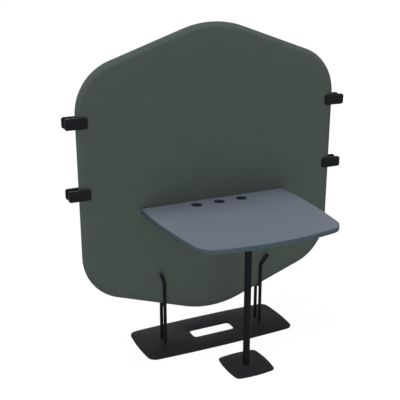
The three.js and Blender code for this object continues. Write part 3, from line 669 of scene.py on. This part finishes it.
# Screen covers: wool cloth drawn taut over a foam pad, front and back alike. Each is a tray
# over the frame with a soft rolled edge, and the two meet in a seam round the screen's side.
SCREEN_HALF_WIDTH = 670 * MM
PEAK_HEIGHT, SHOULDER_HEIGHT = 1603.5 * MM, 1370 * MM
HIP_HEIGHT, KEEL_HEIGHT = 355 * MM, 122.5 * MM
SIDE_CORNER, POINT_CORNER = 243 * MM, 470 * MM
SCREEN_CORNERS = [
    (0, KEEL_HEIGHT, POINT_CORNER),
    (SCREEN_HALF_WIDTH, HIP_HEIGHT, SIDE_CORNER),
    (SCREEN_HALF_WIDTH, SHOULDER_HEIGHT, SIDE_CORNER),
    (0, PEAK_HEIGHT, POINT_CORNER),
    (-SCREEN_HALF_WIDTH, SHOULDER_HEIGHT, SIDE_CORNER),
    (-SCREEN_HALF_WIDTH, HIP_HEIGHT, SIDE_CORNER),
]
COVER_STEP = 20 * MM  # longest edge along the outline
FACE_STEP = 30 * MM  # size of the mesh's squares on the flat face
SEAM_GAP = 0.15 * MM
SEAM_ROUNDING = 1.2 * MM
SEAM_WALL = 0.3 * MM
LIP_RADIUS, LIP_STEPS = 3.2 * MM, 5  # the foam's rounding at the seam
EDGE_SLOPE = math.radians(23)
EDGE_BEND, EDGE_BEND_STEPS = 40 * MM, 8  # radius of the soft bend from the slope to the face
EDGE_SLACK = 3.4 * MM  # how much further the cloth's way over the edge is than straight across
CROWN, CROWN_WIDTH, CROWN_STEPS = 1.2 * MM, 60 * MM, 5
CROWN_SLOPE = math.atan(CROWN / CROWN_WIDTH * math.pi / 2)  # where the bend runs into the crown
COVER_DEPTH = 15 * MM
POCKET_DEPTH = 9.3 * MM
POCKET_RIM = 14 * MM
SAG, SAG_WAVE = 0.25 * MM, 210 * MM  # the foam's slow unevenness under the cloth


def wool_material():
    """Wool upholstery cloth in plain weave, of yarn spun from lighter and darker grey-green
    fibres: matt, with a soft bloom at grazing angles and a faintly cloudy shade."""
    material, tree, shader = new_material(
        "woven_wool_cloth", 0.92, Specular_IOR_Level=0.1, Sheen_Weight=0.04, Sheen_Roughness=0.5,
        Sheen_Tint=linear("#8C9A92"),
    )
    cloth = add_node(tree, "ShaderNodeUVMap", uv_map="cloth").outputs["UV"]
    thread = 1.5 * MM  # about twice the real thread spacing, so that the weave shows at all
    waves = add_node(
        tree, "ShaderNodeVectorMath", {0: cloth, 1: (math.pi / thread, math.pi / thread, 0)},
        operation="MULTIPLY",
    ).outputs[0]
    sines = add_node(tree, "ShaderNodeVectorMath", {0: waves}, operation="SINE").outputs[0]
    crests = add_node(tree, "ShaderNodeVectorMath", {0: sines}, operation="ABSOLUTE").outputs[0]
    crest = add_node(tree, "ShaderNodeSeparateXYZ", {0: crests}).outputs
    weft_on_top = add_node(
        tree, "ShaderNodeTexChecker", {"Vector": cloth, "Scale": 1 / thread}
    ).outputs["Fac"]
    weave = add_node(
        tree, "ShaderNodeMix", {0: weft_on_top, 2: crest["X"], 3: crest["Y"]}, data_type="FLOAT"
    ).outputs[0]
    slub = 14 * MM  # length over which one yarn keeps its shade
    yarns = []
    for pace in ((1 / thread, 1 / slub, 0), (1 / slub, 1 / thread, 0)):
        along = add_node(
            tree, "ShaderNodeVectorMath", {0: cloth, 1: pace}, operation="MULTIPLY"
        ).outputs[0]
        yarns.append(add_node(
            tree, "ShaderNodeTexNoise", {"Vector": along, "Scale": 1.0, "Detail": 3.0}
        ).outputs["Fac"])
    melange = add_node(
        tree, "ShaderNodeMix", {0: weft_on_top, 2: yarns[0], 3: yarns[1]}, data_type="FLOAT"
    ).outputs[0]
    patch = 110 * MM  # the dye takes a little better here and there
    cloud = add_node(
        tree, "ShaderNodeTexNoise", {"Vector": cloth, "Scale": 1 / patch, "Detail": 3.0}
    ).outputs["Fac"]
    yarn_colour = add_node(
        tree, "ShaderNodeMix", {0: melange, 6: linear("#424A46"), 7: linear("#535D58")},
        data_type="RGBA",
    ).outputs[2]
    dye = add_node(
        tree, "ShaderNodeMapRange", {"Value": cloud, "To Min": 0.93, "To Max": 1.07}
    ).outputs[0]
    # Painted light and shade: the threads' crests are drawn lighter and the dips between them
    # darker.
    painted_weave_shade = add_node(
        tree, "ShaderNodeMapRange", {"Value": weave, "To Min": 0.72, "To Max": 1.16}
    ).outputs[0]
    shade = add_node(tree, "ShaderNodeMath", {0: dye, 1: painted_weave_shade}, operation="MULTIPLY").outputs[0]
    colour = add_node(
        tree, "ShaderNodeVectorMath", {0: yarn_colour, "Scale": shade}, operation="SCALE"
    ).outputs[0]
    tree.links.new(colour, shader.inputs["Base Color"])
    relief = add_node(
        tree, "ShaderNodeBump", {"Height": weave, "Strength": 0.2, "Distance": 0.25 * MM}
    ).outputs[0]
    tree.links.new(relief, shader.inputs["Normal"])
    return material


def lay_out_cloth(bm, edge_depth, shift):
    """Gives the cover a UV map in metres, as if the cloth were peeled off and laid flat."""
    layer = bm.loops.layers.uv.new("cloth")
    bm.normal_update()
    for face in bm.faces:
        for loop in face.loops:
            place = loop.vert.co
            share = min(max(place.z / edge_depth, 0), 1)
            outwards = loop.vert.normal.xy
            if outwards.length > 0.01:
                outwards = outwards.normalized() * EDGE_SLACK * (1 - share) ** 2
            loop[layer].uv = place.xy + outwards + Vector((shift, 0))


def padded_edge(rise):
    """The edge's insets and heights: a lip at the seam, a straight slope and a soft bend."""
    profile = [(0.0, 0.0)]
    for step in range(1, LIP_STEPS + 1):
        angle = step / LIP_STEPS * (math.pi / 2 - EDGE_SLOPE)
        profile.append((LIP_RADIUS * (1 - math.cos(angle)), LIP_RADIUS * math.sin(angle)))
    lip_inset, lip_height = profile[-1]
    bend_height = EDGE_BEND * (math.cos(CROWN_SLOPE) - math.cos(EDGE_SLOPE))
    bend_start = lip_inset + (rise - bend_height - lip_height) / math.tan(EDGE_SLOPE)
    bend_centre = bend_start + EDGE_BEND * math.sin(EDGE_SLOPE)
    for step in range(EDGE_BEND_STEPS + 1):
        angle = EDGE_SLOPE + (CROWN_SLOPE - EDGE_SLOPE) * step / EDGE_BEND_STEPS
        height = rise - EDGE_BEND * (math.cos(CROWN_SLOPE) - math.cos(angle))
        profile.append((bend_centre - EDGE_BEND * math.sin(angle), height))
    return profile


def padded_cover(name, turn, material):
    bm = bmesh.new()
    draw_outline(bm, rounded_corners(SCREEN_CORNERS))
    for edge in [edge for edge in bm.edges if edge.calc_length() > 2 * COVER_STEP]:
        cuts = math.floor(edge.calc_length() / COVER_STEP)
        bmesh.ops.subdivide_edges(bm, edges=[edge], cuts=cuts)
    back = bmesh.ops.contextual_create(bm, geom=list(bm.edges))["faces"]
    bmesh.ops.translate(bm, verts=bm.verts, vec=(0, 0, SEAM_GAP + SEAM_ROUNDING))
    made = bmesh.ops.extrude_face_region(bm, geom=back)["geom"]
    front = faces_in(made)
    bmesh.ops.translate(bm, verts=verts_in(made), vec=(0, 0, SEAM_WALL))
    bmesh.ops.recalc_face_normals(bm, faces=bm.faces)
    round_rims(bm, back, SEAM_ROUNDING)
    inset_faces(bm, back, POCKET_RIM - SEAM_ROUNDING)
    pull(bm, back, (0, 0, POCKET_DEPTH - SEAM_GAP))
    profile = padded_edge(COVER_DEPTH - CROWN - SEAM_GAP - SEAM_ROUNDING - SEAM_WALL)
    edge_inset, edge_height = profile[-1]
    for step in range(1, CROWN_STEPS + 1):
        share = step / CROWN_STEPS
        rise = CROWN * math.sin(share * math.pi / 2)
        profile.append((edge_inset + CROWN_WIDTH * share, edge_height + rise))
    for (inset, height), (next_inset, next_height) in zip(profile, profile[1:]):
        inset_faces(bm, front, next_inset - inset, next_height - height)
    geom = [*front, *{e for f in front for e in f.edges}, *{v for f in front for v in f.verts}]
    low = Vector([min(v.co[i] for v in bm.verts) for i in range(2)])
    high = Vector([max(v.co[i] for v in bm.verts) for i in range(2)])
    for i, normal in ((0, (1, 0, 0)), (1, (0, 1, 0))):
        cuts = math.floor((high[i] - low[i]) / FACE_STEP)
        for k in range(1, cuts):
            at = [0, 0, 0]
            at[i] = low[i] + k * (high[i] - low[i]) / cuts
            geom = bmesh.ops.bisect_plane(
                bm, geom=geom, dist=MERGE, plane_co=at, plane_no=normal
            )["geom"]
    for vert in bm.verts:
        share = 1 - (COVER_DEPTH - vert.co.z) / CROWN  # the foam gives way only inside its edge
        if share > 0:
            drift = noise.noise(Vector((vert.co.x + turn, vert.co.y, 0)) / SAG_WAVE)
            vert.co.z -= SAG * share * (0.5 + 0.5 * drift)
    lay_out_cloth(bm, COVER_DEPTH - CROWN, turn)
    place = (
        Matrix.Translation((0, screen_y, 0)) @ Matrix.Rotation(turn, 4, "Z")
        @ Matrix.Rotation(math.pi / 2, 4, "X")
    )
    bmesh.ops.transform(bm, matrix=place, verts=bm.verts)
    bmesh.ops.recalc_face_normals(bm, faces=bm.faces)
    cover = make_piece(bm, f"{name}_cloth", material, replaces=[name])
    screen_shades.objects.link(cover)


screen_y = (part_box("front_cover")[1].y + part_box("rear_cover")[0].y) / 2
wool = wool_material()
padded_cover("front_cover", 0, wool)
padded_cover("rear_cover", math.pi, wool)


# Desk brackets: an angle of 4 mm steel folded to 90 degrees, with a 5 mm gusset welded into its
# corner, powder coated. Button-head screws hold it to the frame and up into the desktop.
BRACKET_WIDTH, BRACKET_THICKNESS = 50 * MM, 4 * MM
BRACKET_REACH, BRACKET_DROP = 150 * MM, 95 * MM
BRACKET_BEND = 3 * MM
GUSSET_THICKNESS, GUSSET_END = 5 * MM, 12 * MM
BRACKET_RIM, BRACKET_EDGE = 0.5 * MM, 0.8 * MM
BRACKET_BEAD, BEAD_END, BEAD_SHIFT = 2.0 * MM, 18 * MM, 0.2 * MM
SCREW_CLEARANCE = 0.4 * MM
HOLE_OVERSHOOT = 1 * MM
M6_ROUND_HEAD, M6_HEX_SOCKET = (3 * MM, 5.5 * MM, 4 * MM), (2.3 * MM, 2.2 * MM, 0)
BOARD_SCREW, SIX_LOBES = (2.5 * MM, 4.8 * MM, 3 * MM), (2.2 * MM, 2.0 * MM, 0.24)


def combined(first, others, operation):
    """Joins other solids to a solid, or cuts them out of it, and gives the result."""
    solids = []
    for bm in [first, *others]:
        mesh = bpy.data.meshes.new("solid")
        bm.to_mesh(mesh)
        bm.free()
        solid = bpy.data.objects.new("solid", mesh)
        bpy.context.scene.collection.objects.link(solid)
        solids.append(solid)
    for other in solids[1:]:
        step = solids[0].modifiers.new("step", "BOOLEAN")
        step.operation = operation
        step.solver = "EXACT"
        step.object = other
    bpy.context.view_layer.update()
    result = bmesh.new()
    result.from_object(solids[0], bpy.context.evaluated_depsgraph_get())
    for solid in solids:
        mesh = solid.data
        bpy.data.objects.remove(solid)
        bpy.data.meshes.remove(mesh)
    bmesh.ops.remove_doubles(result, verts=result.verts, dist=MERGE)
    return result


def across(bm):
    """Turns a side view, drawn as forwards and upwards, so that its thickness lies along X."""
    basis = Matrix(((0, 0, -1, 0), (-1, 0, 0, 0), (0, 1, 0, 0), (0, 0, 0, 1)))
    bmesh.ops.transform(bm, matrix=basis, verts=bm.verts)
    return bm


def bracket(name):
    low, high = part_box(name)
    middle = (low.x + high.x) / 2
    t, bend = BRACKET_THICKNESS, BRACKET_BEND
    edge = BRACKET_EDGE
    angle_arcs = rounded_corners([
        (0, -BRACKET_DROP, edge), (t, -BRACKET_DROP, edge), (t, -t, bend),
        (BRACKET_REACH, -t, edge), (BRACKET_REACH, 0, edge), (0, 0, bend + t),
    ])
    half = BRACKET_WIDTH / 2
    body = across(flat_plate([angle_arcs], -half, half, BRACKET_RIM))
    root, end = t / 2, GUSSET_END
    gusset_arcs = rounded_corners([
        (root, end - BRACKET_DROP, edge), (t + GUSSET_THICKNESS, end - BRACKET_DROP, edge),
        (BRACKET_REACH - end, -t - GUSSET_THICKNESS, edge), (BRACKET_REACH - end, -root, edge),
        (root, -root, edge),
    ])
    half = GUSSET_THICKNESS / 2
    gusset = across(flat_plate([gusset_arcs], -half, half, BRACKET_RIM))
    beads = []
    for side in (-1, 1):
        x = side * (half + BEAD_SHIFT)
        foot = (x, -t, BEAD_END - BRACKET_DROP)
        corner = (x, -t, -t)
        toe = (x, BEAD_END - BRACKET_REACH, -t)
        beads += [rod_between(foot, corner, BRACKET_BEAD), rod_between(corner, toe, BRACKET_BEAD)]
    body = combined(body, [gusset, *beads], "UNION")
    bmesh.ops.translate(body, verts=body.verts, vec=(middle, high.y, high.z))
    holes = []
    for screw, direction, radius in (
        ("wall", (0, 1, 0), M6_ROUND_HEAD[0]), ("top", (0, 0, 1), BOARD_SCREW[0]),
    ):
        for place in ("outer", "inner"):
            screw_low, screw_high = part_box(f"bracket_{screw}_screw_{name.split('_')[-1]}_{place}")
            centre = (screw_low + screw_high) / 2
            on_plate = centre.copy()
            if screw == "wall":
                on_plate.y = high.y - t / 2
            else:
                on_plate.z = high.z - t / 2
            reach = Vector(direction) * (t / 2 + HOLE_OVERSHOOT)
            holes.append(rod_between(on_plate - reach, on_plate + reach, radius + SCREW_CLEARANCE))
    body = combined(body, holes, "DIFFERENCE")
    make_piece(body, f"{name}_steel", powder_coat, replaces=[name])


for bracket_hand in ("left", "right"):
    bracket(f"desk_bracket_{bracket_hand}")
    for screw_place in ("outer", "inner"):
        make_screw(
            f"bracket_wall_screw_{bracket_hand}_{screw_place}", (0, 1, 0), M6_ROUND_HEAD,
            "cylinder", M6_HEX_SOCKET,
        )
        make_screw(
            f"bracket_top_screw_{bracket_hand}_{screw_place}", (0, 0, 1), BOARD_SCREW,
            "pointed", SIX_LOBES,
        )

# Desktop: 22 mm particle board faced with blue-grey melamine and edged with a plastic band, with
# three round holes for cables, each lined with a moulded sleeve. The band is drawn darker than
# the face: partly its own colour, partly painted shade on the upright edge. The sleeves' dark
# slate is partly painted shade inside the holes.
DESK_WIDTH = 769 * MM
DESK_SIDE_RADIUS, DESK_WIDEST_INSET = 2600 * MM, 120 * MM
DESK_FRONT_RADIUS = 1405 * MM
DESK_CORNER, DESK_BACK_CORNER = 88 * MM, 4 * MM
DESK_RIM = 1.6 * MM
BAND_GROOVE, BAND_GROOVE_DEPTH = 0.3 * MM, 0.12 * MM  # the joint between band and face
SLEEVE_WALL, SLEEVE_RIM, SLEEVE_PLAY = 1.5 * MM, 0.4 * MM, 0.3 * MM
SLEEVE_SIDES = 64


def plastic_material(name, shades, roughness, grain_size):
    """Moulded or extruded plastic, dyed through: one even colour and a fine matt grain, which
    gives a soft, slightly oily highlight."""
    return grained_material(
        name, shades, roughness, specular=0.02, cloud_size=25 * MM, grain_size=grain_size,
        relief=(0.3, 0.06 * MM),
    )


def desk_arcs(back, front):
    """The desktop's outline: straight at the back, bowed at both sides and at the front."""
    side = Vector((DESK_WIDTH / 2 - DESK_SIDE_RADIUS, back - DESK_WIDEST_INSET))
    bow = Vector((0, front + DESK_FRONT_RADIUS))
    fillet = touching_circle(
        side, DESK_SIDE_RADIUS, bow, DESK_FRONT_RADIUS, DESK_CORNER, Vector((1, -1))
    )
    side_angle, front_angle = bearing(fillet, side), bearing(fillet, bow)
    rise = back - DESK_BACK_CORNER - side.y
    reach = DESK_SIDE_RADIUS - DESK_BACK_CORNER
    back_angle = math.asin(rise / reach)
    back_x = side.x + reach * math.cos(back_angle)
    back_y = back - DESK_BACK_CORNER
    half_turn = math.pi
    return [
        (side.x, side.y, DESK_SIDE_RADIUS, side_angle, back_angle),
        (back_x, back_y, DESK_BACK_CORNER, back_angle, half_turn / 2),
        (-back_x, back_y, DESK_BACK_CORNER, half_turn / 2, half_turn - back_angle),
        (-side.x, side.y, DESK_SIDE_RADIUS, half_turn - back_angle, half_turn - side_angle),
        (-fillet.x, fillet.y, DESK_CORNER, half_turn - side_angle, half_turn - front_angle),
        (0, bow.y, DESK_FRONT_RADIUS, -half_turn - front_angle, front_angle),
        (fillet.x, fillet.y, DESK_CORNER, front_angle, side_angle),
    ]


def tube(inner, outer, length, inner_rim, outer_rim, sides):
    """A tube up the Z axis with its rims rounded."""
    return turned(
        [(inner, 0, inner_rim), (outer, 0, outer_rim), (outer, length, outer_rim),
         (inner, length, inner_rim)], sides,
    )


desk_low, desk_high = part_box("desktop")
sleeve_boxes = {place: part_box(f"cable_sleeve_{place}") for place in ("left", "centre", "right")}
desk_outlines = [desk_arcs(desk_high.y, desk_low.y)]
for sleeve_low, sleeve_high in sleeve_boxes.values():
    centre = (sleeve_low + sleeve_high) / 2
    radius = (sleeve_high.x - sleeve_low.x) / 2 + SLEEVE_PLAY
    desk_outlines.append([(centre.x, centre.y, radius, 0, 2 * math.pi)])
desk_bm = flat_plate(desk_outlines, desk_low.z, desk_high.z, DESK_RIM)
top_face = [
    face for face in desk_bm.faces
    if face.normal.z > FLAT and face.calc_center_median().z > desk_high.z - NEAR
]
for groove_depth in (-BAND_GROOVE_DEPTH, BAND_GROOVE_DEPTH):
    inset_faces(desk_bm, top_face, BAND_GROOVE, groove_depth)
# Decor paper under melamine resin, pressed against a textured plate: even in colour, with a low
# satin shine that a shallow grain breaks up. The grain is drawn at about twice its real size.
melamine = grained_material(
    "blue_grey_melamine", ("#525860", "#585F68"), roughness=0.5, specular=0.03,
    cloud_size=90 * MM, grain_size=1.8 * MM, relief=(0.25, 0.08 * MM), grain_detail=3.0,
)
desktop = make_piece(desk_bm, "desktop_board", melamine, replaces=["desktop"])
# The edge band is drawn darker than the melamine: partly its own colour, partly painted shade on
# the upright faces.
desktop.data.materials.append(
    plastic_material("abs_edge_band", ("#49555E", "#4C5962"), roughness=0.45, grain_size=0.9 * MM)
)
for polygon in desktop.data.polygons:
    polygon.material_index = 0 if abs(polygon.normal.z) > FLAT else 1

# The sleeves' dark slate is partly their own colour and partly painted shade: the inside of each
# hole is drawn as dark as it looks in shade.
sleeve_plastic = plastic_material(
    "moulded_abs_sleeve", ("#2A333B", "#2E3840"), roughness=0.5, grain_size=0.7 * MM
)
for sleeve_place, (sleeve_low, sleeve_high) in sleeve_boxes.items():
    outer = (sleeve_high.x - sleeve_low.x) / 2
    height = sleeve_high.z - sleeve_low.z
    sleeve_bm = tube(
        outer - SLEEVE_WALL, outer, height, SLEEVE_RIM, SLEEVE_RIM, SLEEVE_SIDES
    )
    centre = (sleeve_low + sleeve_high) / 2
    bmesh.ops.translate(sleeve_bm, verts=sleeve_bm.verts, vec=(centre.x, centre.y, sleeve_low.z))
    name = f"cable_sleeve_{sleeve_place}"
    make_piece(sleeve_bm, f"{name}_liner", sleeve_plastic, replaces=[name])

# Leg: a 33 mm steel tube with a threaded plug in its foot and a spigot of the flange in its
# head. Tube and flange are powder coated, the plug zinc plated. The foot plate is cut like the
# base plate, with felt under it.
LEG_WALL = 2 * MM
LEG_SIDES = 64
LEG_RIM = 0.4 * MM
FLANGE_SPIGOT = 30 * MM
FLANGE_RIM = 0.8 * MM
SPIGOT_PLAY = 0.3 * MM
FOOT_BOW, FOOT_CORNER = 9.5 * MM, 24 * MM
FLANGE_SCREW = (2.5 * MM, 4.6 * MM, 2.4 * MM)
FOOT_SCREW, FOOT_HEX_SOCKET = (5 * MM, 9 * MM, 4 * MM), (3.4 * MM, 3 * MM, 0)

leg_low, leg_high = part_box("leg_tube")
leg_axis = (leg_low + leg_high) / 2
leg_radius = (leg_high.x - leg_low.x) / 2
leg_length = leg_high.z - leg_low.z
leg_bore = leg_radius - LEG_WALL
leg_bm = tube(leg_bore, leg_radius, leg_length, LEG_RIM, LEG_RIM, LEG_SIDES)
bmesh.ops.translate(leg_bm, verts=leg_bm.verts, vec=(leg_axis.x, leg_axis.y, leg_low.z))
make_piece(leg_bm, "leg_tube_steel", powder_coat, replaces=["leg_tube"])

flange_low, flange_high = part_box("leg_flange")
flange_radius = (flange_high.x - flange_low.x) / 2
flange_under = flange_low.z + FLANGE_SPIGOT
flange_bm = turned(
    [(0, flange_low.z, 0), (leg_bore - SPIGOT_PLAY, flange_low.z, FLANGE_RIM),
     (leg_bore - SPIGOT_PLAY, flange_under, 0.1 * MM), (flange_radius, flange_under, FLANGE_RIM),
     (flange_radius, flange_high.z, FLANGE_RIM), (0, flange_high.z, 0)], LEG_SIDES,
)
bmesh.ops.translate(flange_bm, verts=flange_bm.verts, vec=(leg_axis.x, leg_axis.y, 0))


def countersink(node, size):
    """A cutter for a screw that comes from below, a little larger than the screw."""
    radius, head_radius, head_height = size
    low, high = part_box(node)
    centre = (low + high) / 2
    wide, narrow = head_radius + SCREW_CLEARANCE, radius + SCREW_CLEARANCE
    length = high.z - low.z
    bm = turned(
        [(0, -HOLE_OVERSHOOT, 0), (wide, -HOLE_OVERSHOOT, 0), (wide, 0, 0),
         (narrow, head_height, 0), (narrow, length, 0), (0, length, 0)], SOCKET_SIDES,
    )
    bmesh.ops.translate(bm, verts=bm.verts, vec=(centre.x, centre.y, low.z))
    return bm


flange_screws = [f"flange_screw_{number}" for number in range(1, 5)]
flange_cutters = [countersink(node, FLANGE_SCREW) for node in flange_screws]
flange_bm = combined(flange_bm, flange_cutters, "DIFFERENCE")
make_piece(flange_bm, "leg_flange_steel", powder_coat, replaces=["leg_flange"])
for node in flange_screws:
    make_screw(node, (0, 0, 1), FLANGE_SCREW, "countersunk", SIX_LOBES)

foot_low, foot_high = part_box("foot_plate")
foot_arcs = bowed_plate_arcs(foot_low.xy, foot_high.xy, FOOT_BOW, FOOT_CORNER)
foot_bm = flat_plate([foot_arcs], foot_low.z, foot_high.z, PLATE_RIM)
foot_bm = combined(foot_bm, [countersink("foot_screw", FOOT_SCREW)], "DIFFERENCE")
make_piece(foot_bm, "foot_plate_steel", powder_coat, replaces=["foot_plate"])
make_screw("foot_screw", (0, 0, 1), FOOT_SCREW, "countersunk", FOOT_HEX_SOCKET)
finish_node("foot_felt", needle_felt)
finish_node("leg_plug", zinc)

# Linking clamps: two jaws moulded in glass-filled nylon, which grip the screen's edge and that
# of a neighbour. A screw from the back draws them together, into a brass insert in the front one.
JAW_CORNER, JAW_RIM, JAW_RIM_STEPS = 11 * MM, 1.8 * MM, 4
JAW_THICKNESS = 15 * MM
BOSS_RADIUS, BOSS_RIM = 6 * MM, 0.5 * MM
BOSS_SIDES = 40
CLAMP_SCREW, CLAMP_HEX_SOCKET = (3 * MM, 5 * MM, 5 * MM), (2.6 * MM, 3 * MM, 0)
INSERT_RADIUS, INSERT_LENGTH, INSERT_PLAY = 4.4 * MM, 12 * MM, 0.3 * MM
INSERT_RIM, INSERT_BORE_RIM = 0.3 * MM, 0.2 * MM


def brass_material():
    """Turned brass, left bare: a warm yellow metal with fine rings from the lathe."""
    tarnish = 4 * MM
    material, tree, shader, place, _ = clouded_material(
        "turned_brass", ("#A98743", "#C6A65E"), tarnish, 0.3, detail=3.0, Metallic=1.0
    )
    ring = 0.6 * MM
    rings = add_node(
        tree, "ShaderNodeTexWave", {"Vector": place, "Scale": 1 / (10 * ring)},
        wave_type="BANDS", bands_direction="Y",
    ).outputs["Fac"]
    relief = add_node(
        tree, "ShaderNodeBump", {"Height": rings, "Strength": 0.3, "Distance": 0.05 * MM}
    ).outputs[0]
    tree.links.new(relief, shader.inputs["Normal"])
    return material


def at_depth(point, y):
    """The point on the same line along Y."""
    return Vector((point.x, y, point.z))


def jaw(name, depth, screw_axis, cutters):
    """A jaw on the side of the screen that depth points to, with its boss towards the middle."""
    low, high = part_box(name)
    middle = (low + high) / 2
    half_x, half_z = (high.x - low.x) / 2, (high.z - low.z) / 2
    outer = abs((high.y if depth > 0 else low.y) - screen_y)
    inner = outer - JAW_THICKNESS
    seat = abs((low.y if depth > 0 else high.y) - screen_y)
    body = flat_plate(
        [rounded_box(0, 0, half_x, half_z, JAW_CORNER)], inner, outer, JAW_RIM, JAW_RIM_STEPS
    )
    boss_end = inner + JAW_THICKNESS / 2
    boss = turned(
        [(0, seat, 0), (BOSS_RADIUS, seat, BOSS_RIM), (BOSS_RADIUS, boss_end, 0), (0, boss_end, 0)],
        BOSS_SIDES,
    )
    away = screw_axis.x - middle.x
    bmesh.ops.translate(boss, verts=boss.verts, vec=(away, 0, 0))
    body = combined(body, [boss], "UNION")
    place = (
        Matrix.Translation((middle.x, screen_y, middle.z))
        @ Matrix.Rotation(-depth * math.pi / 2, 4, "X")
    )
    bmesh.ops.transform(body, matrix=place, verts=body.verts)
    return combined(body, cutters, "DIFFERENCE")


nylon = plastic_material(
    "black_glass_filled_nylon", ("#1D1E20", "#212224"), roughness=0.5, grain_size=0.8 * MM
)
brass = brass_material()
clamp_radius, clamp_head_radius, clamp_head_height = CLAMP_SCREW
bore_radius = clamp_radius + SCREW_CLEARANCE
for level in ("upper", "lower"):
    for hand in ("left", "right"):
        spot = f"{level}_{hand}"
        screw_low, screw_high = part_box(f"clamp_screw_{spot}")
        axis = (screw_low + screw_high) / 2
        insert_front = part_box(f"clamp_insert_{spot}")[0].y
        front_name, rear_name = f"clamp_front_jaw_{spot}", f"clamp_rear_jaw_{spot}"
        front_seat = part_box(front_name)[1].y
        pocket = rod_between(
            at_depth(axis, insert_front - INSERT_PLAY), at_depth(axis, front_seat + HOLE_OVERSHOOT),
            INSERT_RADIUS + INSERT_PLAY, BOSS_SIDES,
        )
        front = jaw(front_name, -1, axis, [pocket])
        make_piece(front, f"{front_name}_moulding", nylon, replaces=[front_name])
        head_seat = screw_high.y - clamp_head_height - INSERT_PLAY
        rear_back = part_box(rear_name)[1].y
        bore = rod_between(
            at_depth(axis, screen_y - HOLE_OVERSHOOT), at_depth(axis, head_seat + HOLE_OVERSHOOT),
            bore_radius, BOSS_SIDES,
        )
        recess = rod_between(
            at_depth(axis, head_seat), at_depth(axis, rear_back + HOLE_OVERSHOOT),
            clamp_head_radius + SCREW_CLEARANCE, BOSS_SIDES,
        )
        rear = jaw(rear_name, 1, axis, [bore, recess])
        make_piece(
            rear, f"{rear_name}_moulding", nylon, body=f"rear_jaw_{spot}",
            replaces=[rear_name],
        )
        insert = tube(
            bore_radius, INSERT_RADIUS, INSERT_LENGTH, INSERT_BORE_RIM, INSERT_RIM, BOSS_SIDES
        )
        point_along(insert, at_depth(axis, insert_front), (0, 1, 0))
        make_piece(
            insert, f"clamp_insert_{spot}_brass", brass, replaces=[f"clamp_insert_{spot}"]
        )
        make_screw(
            f"clamp_screw_{spot}", (0, -1, 0), CLAMP_SCREW, "cylinder", CLAMP_HEX_SOCKET,
            body=f"screw_{spot}",
        )

bpy.context.view_layer.update()
